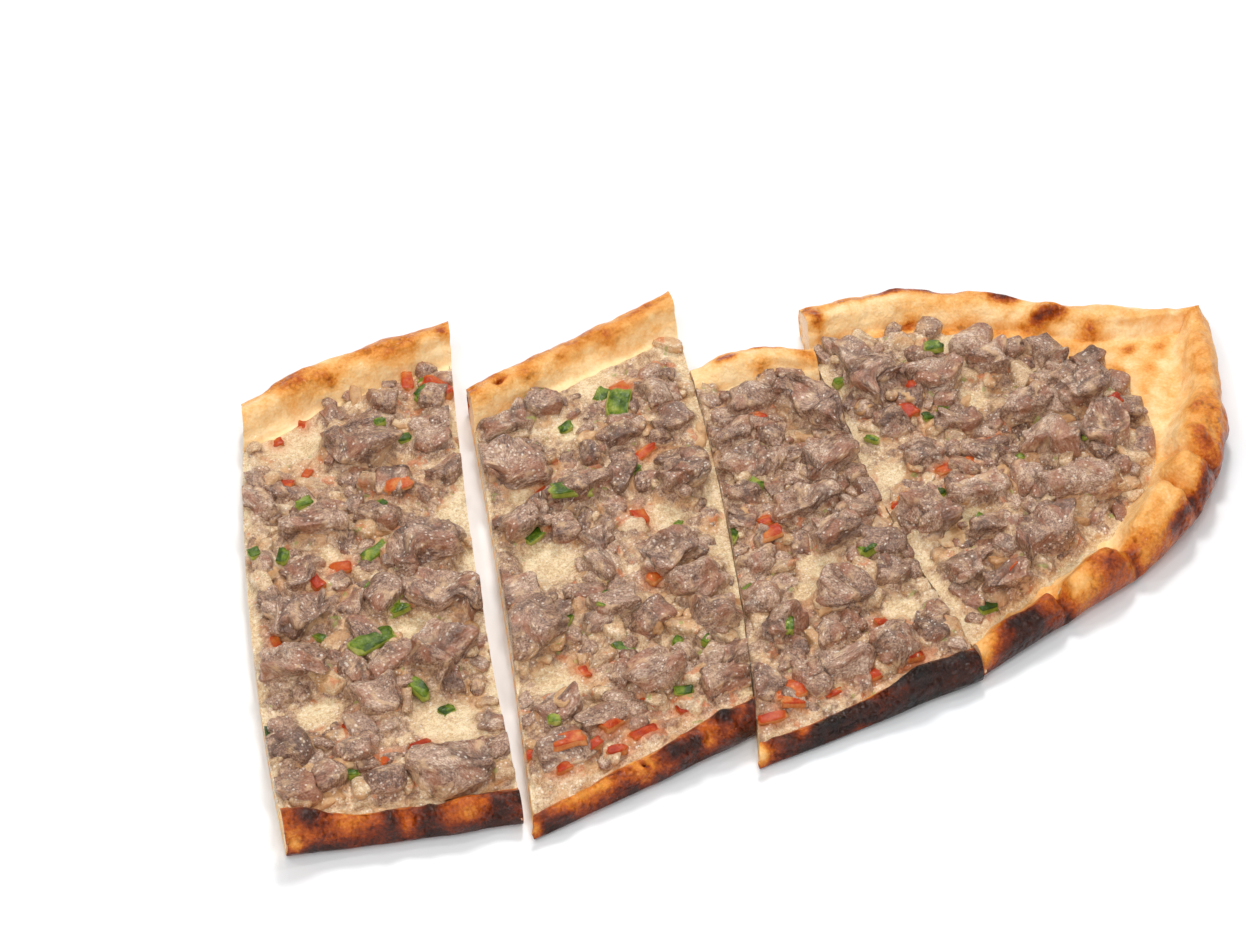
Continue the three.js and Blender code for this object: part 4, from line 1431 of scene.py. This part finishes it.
def lump_shapes(lumps: list[Lump], steps: int, roughness: Roughness,
                seed: int) -> tuple[Array, Array, dict[str, Array]]:
    """Points and marks of many lumps at once.

    A cube's points are pulled in by their distance to a power and swollen by 1 + 0.11 times
    sin(2.7x + a) cos(2.1y + b) + 0.6 sin(3.9y + 3.1z + c), and its foot is cut flat. Its outline then
    drifts by broad noise. Broad noise and rounded cells, drawn out along the lump like bundles of
    muscle, move the points out, and cracks e to the power of minus (d / 0.13)^2 move them in, d being
    the way to the nearest border of a cell.

    Args:
        lumps: the lumps.
        steps: faces along each edge of the cube.
        roughness: how broken the surface is.
        seed: picks the noise.

    Returns:
        For each lump its points, the faces of one lump, and the marks "grain" (place in the lump's own
        axes, in metres), "rise" (0 at the foot, 1 at the top), "flesh" (1 on the upright sides),
        "cleft" (1 in the cracks, painted shade) and "tone" (a number from 0 to 1 for each bundle).
    """
    box, quads = unit_box(steps)
    table = [[k.x, k.y, k.bottom, k.length, k.width, k.height, k.turn, k.tilt, *k.phases] for k in lumps]
    x0, y0, bottom, length, width, height, turn, tilt, a, b, c = np.array(table).T[..., None]
    turn, tilt = np.radians(turn), np.radians(tilt)
    sway, lobe, crack, grain, power = roughness.value
    x, y, z = box.T[:, None]
    swell = np.sin(2.7 * x + a) * np.cos(2.1 * y + b) + 0.6 * np.sin(3.9 * y + 3.1 * z + c)
    pull = np.linalg.norm(box, axis=1)[None] ** power * (1.02 + 0.11 * swell)
    cx, cy, cz = x * pull, y * pull, z * pull
    raised = (np.maximum(cz, LUMP_BASE) - LUMP_BASE) / (1 - LUMP_BASE)
    local = np.stack([cx * length / 2, cy * width / 2, raised * height], -1)
    scale = np.clip(np.sqrt(length * width) / 12, 0.2, 1.05)
    where = local + LUMPS_APART * np.arange(len(lumps))[:, None, None]
    moved = drift(where, 6.5, 1.0, seed)
    bundle = drift(where, 3.0, 0.8, seed + 5) * np.array([0.7, 1.0, 1.0])
    dome, own, border = cells(bundle, 4.8, seed + 9)
    torn = bell(border / 0.13) * smooth(0.0, 0.4, noise(where, 7, seed + 15))
    out = lobe * (0.8 * layered(where, 4.4, seed + 3, 2) + 0.6 * (dome - 0.72)) - crack * torn
    out += grain * noise(where, 1.6, seed + 17)
    way = np.stack([cx / length, cy / width, (raised - 0.35) / height], -1)
    way = way / np.maximum(np.linalg.norm(way, axis=-1, keepdims=True), 1e-9)
    local = local + sway * scale[..., None] * (moved - where) + way * (out * scale)[..., None]
    px, py, pz = np.moveaxis(local, -1, 0)
    pz = np.where(raised <= 0, 0.0, np.maximum(pz, 0.0)) + np.tan(tilt) * px
    turned = (x0 + px * np.cos(turn) - py * np.sin(turn), y0 + px * np.sin(turn) + py * np.cos(turn))
    return np.stack([*turned, bottom + pz], -1), quads, {
        "grain": where / MILLIMETRES,
        "rise": raised,
        "flesh": np.broadcast_to(1 - smooth(0.55, 0.95, np.abs(z)), raised.shape),
        # Painted shade: 1 in the cracks, 0.3 at most between the bundles.
        "cleft": np.maximum(torn, 0.3 * smooth(0.62, 0.3, dome)),
        "tone": own,
    }


@dataclass
class LumpGroup:
    """Lumps of one fineness: faces along each edge of their cubes, and the slice whose cuts trim them."""

    lumps: list[Lump]
    steps: int
    plan: SlicePlan


def lump_piece(name: str, groups: list[LumpGroup], roughness: Roughness, seed: int) -> bpy.types.Object:
    """One piece from groups of lumps, without those of which a cut leaves too little.

    Args:
        name: the piece's name.
        groups: the groups.
        roughness: how broken their surfaces are.
        seed: picks the noise.

    Returns:
        The object, with the marks of lump_shapes and "near", which is 1.
    """
    shell = Shell()
    for k, group in enumerate(group for group in groups if group.lumps):
        whole, quads, marks = lump_shapes(group.lumps, group.steps, roughness, seed + 50 * k)
        trimmed = group.plan.trim(whole)
        left = np.ptp(trimmed[..., 0], axis=1) > LEAST_LEFT * np.ptp(whole[..., 0], axis=1)
        shade = np.array([[RandomStream(seed + SHADE_STEP * n + k).next()] for n in range(len(left))])
        marks["tone"] = mix(shade, marks["tone"], 0.6)
        index = shell.add(trimmed, near=1.0, **marks)
        shell.faces.append(index[left][:, quads].reshape(-1, 4))
    return shell.piece(name, 80.0, oriented=True)


# ---------------------------------------------------------------- topping


@dataclass(frozen=True)
class ScatterRule:
    """How smaller pieces are thrown, largest first, where nothing is in the way.

    Args:
        count: how many are tried.
        largest: size of the first.
        smallest: size of the last.
        tries: places tried for each.
        spacing: least distance between two middles, as a share of their sizes added up.
        height: height as a share of size.
        stretch: greatest length as a share of size.
        tilt: greatest tilt in degrees.
        inset: how far they keep off the topping's borders, as a share of its length.
        shy: how far they keep off the strips along the cuts, from 0, not at all, to 1, all the way.
    """

    count: int
    largest: float
    smallest: float
    tries: int
    spacing: float
    height: float
    stretch: float = 1.3
    tilt: float = 0.0
    inset: float = 0.04
    shy: float = 0.0


CHUNKS = ScatterRule(16, 9.5, 5.5, 60, 0.46, 0.66)
SCRAPS = ScatterRule(70, 6.4, 3.2, 60, 0.36, 0.6, 1.6, 10.0, -0.012, 1.0)
CRUMBS = ScatterRule(320, 4.4, 1.8, 40, 0.28, 0.5, 1.8, 12.0, -0.015, 0.4)


class SliceTopping:
    """All that lies on one slice: pieces of meat by size, and the soft layer that holds them."""

    overlap = 2.6  # how far the soft layer runs up the front rim
    border = 4.5  # how far its grid goes on past its outline
    step = 0.42  # distance between the grid's rows and columns
    length, pointed_length, breadth = 60, 100, 125  # about how far it reaches along and across
    past_end = 0.07  # how far it goes on past the pointed slice's topping, as a share of the slice
    slice_length = 150  # about how long the pointed slice is
    base_rows = 13  # rows of its hidden underside
    base_depth = 0.5  # how deep that lies in the bread
    far = 99.0  # more than any way across a slice
    bed, surface = 1.3, 1.6  # how high above the bread small meat is bedded and vegetables lie

    def __init__(self, plan: SlicePlan, number: int) -> None:
        """Draws every piece from the slice's random stream, largest first."""
        self.plan, self.number = plan, number
        spec = plan.spec
        stream = RandomStream(spec.seed)
        placed = [Lump(*row[:2], 0.0, *row[2:], stream.phases()) for row in spec.meat]
        self.large = [replace(lump, bottom=LOOSE_FLOOR) for lump in placed[:spec.alone]]
        self.middling = [replace(lump, bottom=FUSED_FLOOR) for lump in placed[spec.alone:]]
        self.chunks = self.scatter(CHUNKS, placed, stream, FUSED_FLOOR)
        taken = placed + self.chunks
        self.scraps = self.bedded(self.scatter(SCRAPS, taken, stream, FLOOR), 0.45)
        crumbs = self.bedded(self.scatter(CRUMBS, taken + self.scraps, stream, FLOOR), 0.4)
        self.loose, self.sunk = crumbs[::6], [k for n, k in enumerate(crumbs) if n % 6]

    def scatter(self, rule: ScatterRule, taken: list[Lump], stream: RandomStream,
                bottom: float) -> list[Lump]:
        """Throws pieces by a rule.

        Args:
            rule: how many, how large and how far apart.
            taken: what is already there.
            stream: the random stream.
            bottom: height that they stand at.

        Returns:
            The pieces that found a place.
        """
        spec, keep, shy = self.plan.spec, rule.inset, rule.shy
        kept_free = spec.clearings + (list(spec.bare) if shy else [])
        spots = [(k.x, k.y, (k.length + k.width) / 2) for k in taken]
        found = []
        for n in range(rule.count):
            size = mix(rule.largest, rule.smallest, n / rule.count)
            for _ in range(rule.tries):
                u, v = stream.next(), stream.next()
                u = mix(keep + shy * spec.strips[0], 1 - keep - shy * spec.strips[1], u)
                x, y = self.plan.topping_point(u, mix(0.75 * keep, 1 - 0.75 * keep, v))
                places = np.array(spots)
                far = np.hypot(x - places[:, 0], y - places[:, 1]) > rule.spacing * (size + places[:, 2])
                clear = all(math.hypot(x - cx, y - cy) > radius + size / 3 for cx, cy, radius in kept_free)
                if clear and far.all():
                    first, second = stream.next(), stream.next()
                    turn = 180 * stream.next()
                    length, width = size * mix(1, rule.stretch, first), size * mix(0.75, 1, second)
                    phases = stream.phases()
                    tilt = rule.tilt * stream.between(-1, 1) if rule.tilt else 0.0
                    found.append(Lump(x, y, bottom, length, width, size * rule.height, turn, phases, tilt))
                    spots.append((x, y, (length + width) / 2))
                    break
        return found

    def climb(self, x: Array, y: Array) -> Array:
        """How far the soft layer climbs round the larger pieces: 0.44 of their height at their foot."""
        return heaped(self.large + self.middling + self.chunks, x, y, 0.44, 2.1)

    def crumb_relief(self, x: Array, y: Array) -> tuple[Array, Array]:
        """Relief of the small crumbs that are part of the soft layer.

        Each is a dome of 0.8 h sqrt(1 - q^2), h being its height and q the way from its middle as a
        share of the way to its oval outline, and the highest counts. Three in five are meat.

        Args:
            x: places along the boat.
            y: places across it.

        Returns:
            Heights, and how much each place belongs to a crumb of meat, from 0 to 1.
        """
        height, meat = np.zeros_like(x), np.zeros_like(x)
        for n, crumb in enumerate(self.sunk):
            share = crumb.foot_share(x, y)
            height = np.maximum(height, 0.8 * crumb.height * np.sqrt(np.clip(1 - share**2, 0, 1)))
            if n % 5 > 1:
                meat = np.maximum(meat, smooth(1.3, 0.7, share))
        return height, meat

    def bedded(self, lumps: list[Lump], share: float) -> list[Lump]:
        """Small pieces sunk into the soft layer by a share of their height."""
        climbs = self.climb(np.array([k.x for k in lumps]), np.array([k.y for k in lumps]))
        bed = FLOOR + self.bed
        return [replace(k, bottom=bed + float(c) - share * k.height) for k, c in zip(lumps, climbs)]

    def everything(self) -> list[Lump]:
        """All the pieces of meat on the slice but its crumbs."""
        return self.large + self.middling + self.chunks + self.scraps

    def covered(self, share: Array, points: Array, away: Array) -> Array:
        """How much fat and mince covers the bread, from 0, bare, to 1.

        It is 1 at the meat and falls by e to the power of -way / 5 mm to 0.7. It is less in the
        clearings, the bare places and the strips along the cuts, whose borders are ragged by noise.

        Args:
            share: shares from cut to cut of the topping.
            points: the same places as points.
            away: how far they are from the nearest meat.

        Returns:
            The cover for each point.
        """
        spec, spread = self.plan.spec, 0.5 * layered(points, 5, Pattern.CLEARING)
        cover = np.maximum(0.7, np.exp(-away / 5.0))
        for x, y, radius in (*spec.clearings, *spec.bare):
            way = np.hypot(points[..., 0] - x, points[..., 1] - y) / radius
            cover = cover * smooth(0.3, 1.25, way + spread)
        for strip, way in zip(spec.strips, (share, 1 - share)):
            if strip:
                cover = cover * mix(0.4, 1.0, smooth(0.3, 1.2, way / strip + 1.6 * spread))
        return cover

    def layer(self, bits: list[Lump], tomatoes: list[Lump]) -> bpy.types.Object:
        """The soft layer: a grid that follows the bread, climbs round every piece and fades at the rims.

        It is a little over 1 mm thick inside and dips into the bread past a ragged margin. Noise and
        crumbs heap it up like mince, and round each piece it climbs by a curve of the way to its foot.

        Args:
            bits: vegetables that the layer climbs too.
            tomatoes: those of them that stain it.

        Returns:
            The object, with the marks "near" (0 where the bread is bare), "meat" (1 on meat), "stain"
            (close to tomato), "tone" (a number for each grain) and "cleft" (1 between grains, where
            shade is painted).
        """
        plan, end, pointed = self.plan, self.plan.spec.topping_end, self.plan.spec.pointed
        columns = int((self.pointed_length if pointed else self.length) / self.step)
        rows = int(self.breadth / self.step)
        line = np.linspace(0, end + (self.past_end if pointed else 0.0), columns + 1)
        v = np.linspace(0, 1, rows + 1)
        first, second = plan.lengths(line)
        front, back = plan.margins(line)
        low, high = (front - self.overlap)[:, None], (first + second - back)[:, None]
        s = mix(low - self.border, high + self.border, v)
        u = np.broadcast_to(line[:, None], s.shape)
        bread = plan.top(u, s)
        points = np.concatenate([plan.at(u, s), bread[..., None]], -1)
        x, y = np.moveaxis(points[..., :2].copy(), -1, 0)
        inside = np.minimum(s - low, high - s)
        if pointed:
            inside = np.minimum(inside, (end - u) * self.slice_length)
        ragged = inside + 2.0 * layered(points, 7, Pattern.MARGIN)
        drifted = drift(points, 2.6, 0.6, Pattern.CRUMB_DRIFT)
        crumbs, meat = self.crumb_relief(drifted[..., 0], drifted[..., 1])
        away = nearest_way(self.everything(), x, y)
        meat = np.maximum(meat, 0.9 * bell(away / 1.6))
        stain = 0.75 * np.exp(-nearest_way(tomatoes, x, y) / 1.6)
        climb = np.maximum(self.climb(x, y), heaped(self.scraps + bits, x, y, 0.45, 0.9))
        bared = ragged if pointed else ragged + self.far * smooth(20, 16, s - low)
        near = self.covered(u / end, points, away) * smooth(-1.5, 2.0, bared)
        hollow = np.abs(np.sin(0.31 * x + 0.17 * y) * np.sin(0.23 * y - 0.12 * x))
        thickness = mix(-2.8, 1.35, smooth(-3.6, 1.6, ragged)) - 0.4 * hollow * (ragged > 0)
        minced = smooth(0.2, 0.8, near)
        grains, shade, _ = cells(drift(points, 3, 0.5, Pattern.GRAIN_DRIFT), 1.7, Pattern.GRAINS)
        heap = mix(0.3, 0.8, minced) * layered(points, 5, Pattern.HEAPS, 3)
        heap += mix(0.2, 0.6, minced) * (grains - 0.6)
        heap = smooth(-0.5, 2.0, ragged) * (np.maximum(climb, crumbs * minced) + heap)
        points[..., 2] = bread + thickness + heap
        ends = smooth(0.02, 0.0, u) - (0.0 if pointed else smooth(0.98, 1.0, u))
        points[..., 0] += 1.4 * ends * smooth(0.3, -0.6, thickness)
        # Painted shade: 1 in the hollows between grains of mince.
        cleft = smooth(0.62, 0.25, grains) * minced
        shell = Shell()
        top = shell.add(points, near=near, meat=meat, stain=stain, tone=mix(0.5, shade, minced), cleft=cleft)
        under = np.linspace(0, rows, self.base_rows).astype(int)
        points = points[:, under].copy()
        points[..., 2] = np.minimum(points[..., 2], FLOOR) - self.base_depth
        base = shell.add(points, near=0.0, meat=0.0, stain=0.0, tone=0.0, cleft=0.0)
        shell.faces += [
            grid_quads(top),
            grid_quads(base[:, ::-1]),
            grid_quads(np.stack([base[:, 0], top[:, 0]], 1)),
            grid_quads(np.stack([top[:, -1], base[:, -1]], 1)),
            *(zip_lines(top[column], base[column], v, v[under]) for column in (0, -1)),
        ]
        return shell.piece(f"soft_layer_{self.number}", 60.0)

    def support(self, x: float, y: float) -> float:
        """Height of what a small piece at a point would lie on: the soft layer or a piece of meat."""
        at = np.array([x]), np.array([y])
        highest = FLOOR + self.surface + float(max(self.climb(*at)[0], self.crumb_relief(*at)[0][0]))
        for piece in self.everything():
            share = float(piece.foot_share(x, y))
            if share < 1:
                highest = max(highest, piece.bottom + piece.height * (1 - share**2.6) ** 0.5)
        return highest


# ---------------------------------------------------------------- cut vegetables


@dataclass(frozen=True)
class Bits:
    """Small cut vegetables of one kind: x, y, length, width and turn of each.

    Args:
        kind: name of the piece.
        slot: the record's material slot, with which the nodes' names start.
        finish: their finish.
        roughness: how broken up they are.
        thickness: how thick they are at most.
        sunk: how deep they are pressed in, as a share of their thickness.
        rows: the small ones.
        nodes: the ones that are nodes of their own.
    """

    kind: str
    slot: str
    finish: CutVegetable
    roughness: Roughness
    thickness: float
    sunk: float
    rows: list[tuple[float, ...]]
    nodes: list[tuple[float, ...]]

    def lumps(self, toppings: list[SliceTopping]) -> list[list[Lump]]:
        """The vegetables as lumps, each on what carries it and pressed in a little.

        Args:
            toppings: the slices' toppings.

        Returns:
            The lumps of each slice.
        """
        stream = RandomStream(len(self.rows) * 31 + 5)
        found = [[] for _ in toppings]
        for n, (x, y, length, width, turn) in enumerate(self.nodes + self.rows):
            own = n < len(self.nodes)
            k = int(np.argmin([t.plan.gap_to(x, y) for t in toppings]))
            thickness = self.thickness * (1.0 if own else stream.between(0.6, 0.9))
            bottom = toppings[k].support(x, y) - self.sunk * thickness
            phases = (float(n), 2.0, 4.0) if own else stream.phases()
            tilt = stream.between(-14, 14)
            if own:
                bottom = max(bottom, LOOSE_FLOOR)
            found[k].append(Lump(x, y, bottom, length, width, thickness, turn, phases, tilt))
        return found


PEPPER_BITS = Bits(
    "diced_pepper", "pepper", GREEN_PEPPER, Roughness.CUT, 2.4, 0.45,
    rows=[
        (-53, 61, 6, 4, 20), (-50.5, 65, 5, 3, -50), (-79.5, 25.5, 4, 3, 20), (-85, 14.5, 8, 3.4, 25),
        (-87, -5, 5, 4.6, 0), (-93.5, -31, 7, 3.2, -70), (-129, -30, 6, 3.2, 80), (-118, -48.5, 7, 2, -20),
        (-105.5, 22, 5, 3, 60), (-95.5, 33, 5, 3, 10), (-63.5, 48.5, 4, 2.6, 0), (-107, -6, 4, 2, -60),
        (-89.5, -38.5, 4, 3, 20), (-69, 51, 3, 2, 0), (-112, 23.5, 3, 3, 0), (-91, 3, 3, 2, 40),
        (-13, 43, 5, 3.6, 40), (-43, 35, 4.5, 3, 40), (-40.5, 22, 4, 3, 0), (-36, 10.5, 11, 4, -8),
        (-49, 3, 5, 3.4, 10), (-43.5, -26.5, 6, 4, 40), (-45, -38, 5, 4, 0), (-53.5, -25, 6, 2.6, 50),
        (-47, 13.5, 9, 1.6, 8), (-26, 36, 4, 3, 0), (-17.5, 14, 4, 2, 30), (-41, -11, 3, 2.4, 0),
        (-39, -57, 4.4, 3, -20), (-6, -16, 8, 3, 55), (-11, -34.5, 4.6, 3.2, 20), (-33.6, -43, 3, 2.4, 60),
        (-27, -45, 3, 2, 30), (-69.5, -53, 4, 3, 70), (-28, 49.5, 6, 1.8, 5), (-15.5, -6, 3, 1.8, 40),
        (21.5, -34.5, 7.4, 3, 12), (-9.5, -52, 5, 2, 60), (6.5, -3.5, 4, 3, -40), (12.5, 7, 3.4, 2, 0),
        (62, 2.3, 6, 2.6, -35), (68, 21.5, 5, 3.4, -10), (42, 22, 3.6, 2.4, 20), (40, 0.5, 4, 1.8, -60),
        (87, -22.5, 5.4, 2.6, 50), (68, -20.5, 4.6, 3.4, 0), (37, -62, 4.6, 3, 0), (46, -23.5, 3, 2.2, 50),
        (49.5, -36, 3.4, 2.2, 30), (56, 1.5, 3, 3, 0),
    ],
    nodes=[(-11, 37, 9, 6, 62), (-97, -13, 11, 6, 20)],
)
TOMATO_BITS = Bits(
    "diced_tomato", "tomato", RED_TOMATO, Roughness.CUT, 2.6, 0.68,
    rows=[
        (-95.5, 46, 5, 2.8, -40), (-89.5, 47, 4, 2.6, 50), (-54.5, 68, 7, 3.4, 75), (-72, 31.5, 7, 4, -10),
        (-68.5, 31, 3.4, 3, 0), (-94, 14, 5.4, 3.6, -10), (-101.5, 10, 3, 5, 10), (-99, -47, 5.4, 2.8, 8),
        (-110.5, -34, 5, 3, 20), (-117, -4, 2.4, 6, 0), (-120, -47, 4, 3, 0), (-108, -47, 5, 2.4, 10),
        (-84, 64.5, 4, 2.6, 60), (-92, 61, 3, 2.6, 0), (-70, -63, 8, 4, -10), (-78, -60, 5, 2.4, 20),
        (-8, 43.5, 5.4, 5, 0), (-12.5, 19.5, 8, 2.8, 14), (-22.5, -0.5, 4, 5.4, 0), (-58, -60.5, 6, 3, 20),
        (-48, -57, 5, 2, -60), (-66, -64.5, 7, 3, 8), (-52, -64, 8, 3, 6), (-40, -61, 5, 3, 0),
        (-73, -67, 4, 2.4, 0), (-60, -67, 5, 2.4, 0), (-41, 17.5, 3.6, 1.6, 20), (-56.5, -40.5, 3, 4, 0),
        (-29, -21, 4, 3.4, 30), (1.5, -21.5, 5.6, 4.4, -10), (3, -15, 4, 3.4, 0),
        (17.8, 17.5, 3.4, 3.4, 40), (-18, -71, 6, 2.4, -12), (-8, -71, 5, 2, 0), (-24, -72.5, 7, 3, -8),
        (2, -70.5, 7, 3, 5), (14, -69.5, 5, 2.6, 8), (12, -57, 3.4, 2.4, 0), (-4, -45.5, 2.6, 2.4, 0),
        (50, 3, 7.4, 5, 10), (52, -16.5, 8, 3, 6), (57, -17.5, 5, 3, 0), (36, -22.5, 6.4, 3.4, 8),
        (39, -48, 4.4, 2.8, 30), (67, -12, 4, 3, 30), (99, -15, 3, 4, 0), (57, 12, 3, 3.6, 0),
        (46, -57, 4, 2, 30),
    ],
    nodes=[(-17, -67, 8, 6, -10), (-49, 62, 9, 5, -65)],
)
ONION_BITS = Bits(
    "soft_onion", "topping", SOFT_ONION, Roughness.SCRAP, 2.4, 0.8,
    rows=[
        (-124, -52.5, 8, 6, 0), (-117, -45, 6, 4, 10), (-111, 17.5, 6, 4, 20), (-73, -1, 5, 3, -30),
        (-62, 24, 9, 6, 60), (-60, 55, 8, 6, 0), (-68, 68, 6, 3, 70), (-80, 20.5, 5, 3, 0),
        (-71, -27, 6, 3.4, -60), (-75, -18, 5, 3, 20), (-99, 7, 4, 3, 0), (-122, 9, 5, 3, 0),
        (-32, 45, 7, 4, 0), (-24, 28, 6, 4, 30), (2, 19, 8, 5, 70), (-8, 28, 7, 5, 20), (-30, -28, 5, 4, 0),
        (-50, -63, 7, 3, 20), (-65, -50, 6, 4, 40), (-12, -22, 5, 3, 50), (-33, -64, 6, 3, 0),
        (-36, -36, 5, 3, 80), (2, -11, 7, 4, 0), (9, 28, 7, 5, 20), (4, 20, 6, 4, 50), (14, 4.5, 6, 4, 0),
        (27, 6, 7, 4, -60), (-15, -36, 5, 3, 0), (-5, -70, 5, 2.6, 0), (17, -57, 5, 3, 0),
        (2, -48, 4, 3, 0), (43, 10, 6, 4, 30), (55, 8, 6, 4, 0), (67, 4, 6, 3.4, 0), (41, -37, 9, 6, 80),
        (50, -30, 5, 3, 0), (62, -24, 5, 3.4, 30), (70, -29, 5, 3, 0), (84, 2, 5, 3.4, 0),
        (57, -36, 6, 3, 20), (48, -50, 6, 3.4, 0), (72, -46, 5, 3, 20), (60, 20, 6, 3, 10),
        (86, -15, 5, 3, 0),
    ],
    nodes=[],
)


# ---------------------------------------------------------------- studio


@dataclass(frozen=True)
class Studio:
    """A pale floor, soft light from large lamps and a camera that looks down at the row.

    Args:
        eye: where the camera is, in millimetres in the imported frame.
        target: what it looks at.
        lens: focal length in millimetres.
        sensor: width of the camera's sensor in millimetres.
    """

    eye: tuple[float, float, float] = (-295.7, -574.4, 613.8)
    target: tuple[float, float, float] = (-17.5, 22.1, 0.0)
    lens: float = 106.3
    sensor: float = 36.0

    def camera(self) -> None:
        """The camera, turned from its place to its target."""
        data = bpy.data.cameras.new("camera")
        data.lens, data.sensor_width, data.sensor_fit = self.lens, self.sensor, "HORIZONTAL"
        data.clip_start, data.clip_end = 0.05, 20.0
        eye, target = Vector(self.eye) / MILLIMETRES, Vector(self.target) / MILLIMETRES
        bpy.context.scene.camera = self.place("camera", data, eye, target)

    def light(self) -> None:
        """White surroundings, lamps behind, to the left and in front, and four small ones for glints."""
        world = bpy.data.worlds.new("studio")
        bpy.context.scene.world = world
        world.use_nodes = True
        surroundings = world.node_tree.nodes["Background"].inputs
        surroundings["Color"].default_value = (1.0, 1.0, 1.0, 1.0)
        surroundings["Strength"].default_value = 0.42
        self.lamp("key", (0.3, 0.6, 0.95), size=0.22, watts=5.6)
        self.lamp("fill", (-0.7, -0.5, 0.9), size=0.5, watts=4.0)
        self.lamp("front", (-0.2, -0.9, 0.85), size=0.14, watts=2.3)
        for k, (x, y) in enumerate(((-0.1, -0.4), (0.35, 0.15), (-0.45, 0.3), (0.1, 0.75))):
            self.lamp(f"glint_{k + 1}", (x, y, 1.05), size=0.03, watts=0.75)
        bpy.context.scene.view_settings.view_transform = "Standard"

    def lamp(self, name: str, eye: tuple[float, float, float], size: float, watts: float) -> None:
        """A square lamp, size metres wide, that faces the row."""
        data = bpy.data.lights.new(name, "AREA")
        data.energy, data.size = watts, size
        self.place(name, data, Vector(eye), Vector())

    @staticmethod
    def place(name: str, data: bpy.types.ID, eye: Vector, target: Vector) -> bpy.types.Object:
        """Puts a lamp or camera at a point, in metres, facing another."""
        thing = bpy.data.objects.new(name, data)
        thing.location = eye
        thing.rotation_euler = (target - eye).to_track_quat("-Z", "Y").to_euler()
        bpy.context.scene.collection.objects.link(thing)
        return thing

    def floor(self) -> None:
        """A wide, pale, matt floor."""
        bpy.ops.mesh.primitive_plane_add(size=6)
        floor = bpy.context.object
        floor.name = "floor"
        shader = Shader("pale_floor")
        floor.data.materials.append(shader.finish(Base_Color=(0.9, 0.91, 0.92, 1), Roughness=0.6))


def dress_small_meat(toppings: list[SliceTopping], lamb: bpy.types.Material, fat: bpy.types.Material) -> None:
    """Builds and dresses the pieces of meat and fat that aren't nodes, one mesh for each kind.

    Args:
        toppings: the slices' toppings.
        lamb: the finish of meat.
        fat: the finish of fat.
    """
    kinds = (
        ("lamb_chunks", True, Roughness.SCRAP, ((16, lambda t: t.middling), (11, lambda t: t.chunks))),
        ("lamb_scraps", True, Roughness.SCRAP, ((SMALL_STEPS, lambda t: t.scraps[::3] + t.scraps[1::3]),)),
        ("fat_scraps", False, Roughness.SCRAP, ((SMALL_STEPS, lambda t: t.scraps[2::3]),)),
        ("lamb_crumbs", True, Roughness.CRUMB, ((4, lambda t: t.loose[::2]),)),
        ("fat_crumbs", False, Roughness.CRUMB, ((4, lambda t: t.loose[1::2]),)),
    )
    for k, (name, lean, roughness, sizes) in enumerate(kinds):
        groups = [LumpGroup(pick(t), steps, t.plan) for steps, pick in sizes for t in toppings]
        piece = lump_piece(name, groups, roughness, SMALL_SEED + SEED_STEP * k)
        dress(piece, *((lamb, "meat") if lean else (fat, "topping")))


def main() -> None:
    """Builds and dresses every piece, between the studio's lamps and its floor."""
    logging.basicConfig(level=logging.INFO, format="%(name)s %(message)s")
    studio = Studio()
    studio.camera()
    studio.light()
    dough, fat, lamb = BakedDough().material(), SoftFat().material(), CookedLamb().material()
    toppings = [SliceTopping(SlicePlan(spec), n + 1) for n, spec in enumerate(SLICES)]
    kinds = (PEPPER_BITS, TOMATO_BITS, ONION_BITS)
    bits = [kind.lumps(toppings) for kind in kinds]
    for topping, peppers, tomatoes, onions in zip(toppings, *bits):
        n, plan = topping.number, topping.plan
        columns, inner_rows = POINTED_STEPS if plan.spec.pointed else SLICE_STEPS
        dress(BreadSlice(plan, n, columns, inner_rows).build(), dough, "crust", f"dough_{n}")
        dress(topping.layer(peppers + tomatoes + onions, tomatoes), fat, "topping", f"topping_{n}")
        large = LumpGroup(topping.large, LARGE_STEPS, plan)
        meat = lump_piece(f"lamb_{n}", [large], Roughness.TORN, 100 * n)
        dress(meat, lamb, "meat", *(f"meat_{n}_{j + 1}" for j in range(len(topping.large))))
    dress_small_meat(toppings, lamb, fat)
    for kind, lumps in zip(kinds, bits):
        groups = [LumpGroup(group, SMALL_STEPS, topping.plan) for group, topping in zip(lumps, toppings)]
        own = (f"{kind.slot}_{j + 1}" for j in range(len(kind.nodes)))
        piece = lump_piece(kind.kind, groups, kind.roughness, VEGETABLE_SEED)
        dress(piece, kind.finish.material(), kind.slot, *own)
    studio.floor()


if __name__ == "__main__":
    main()
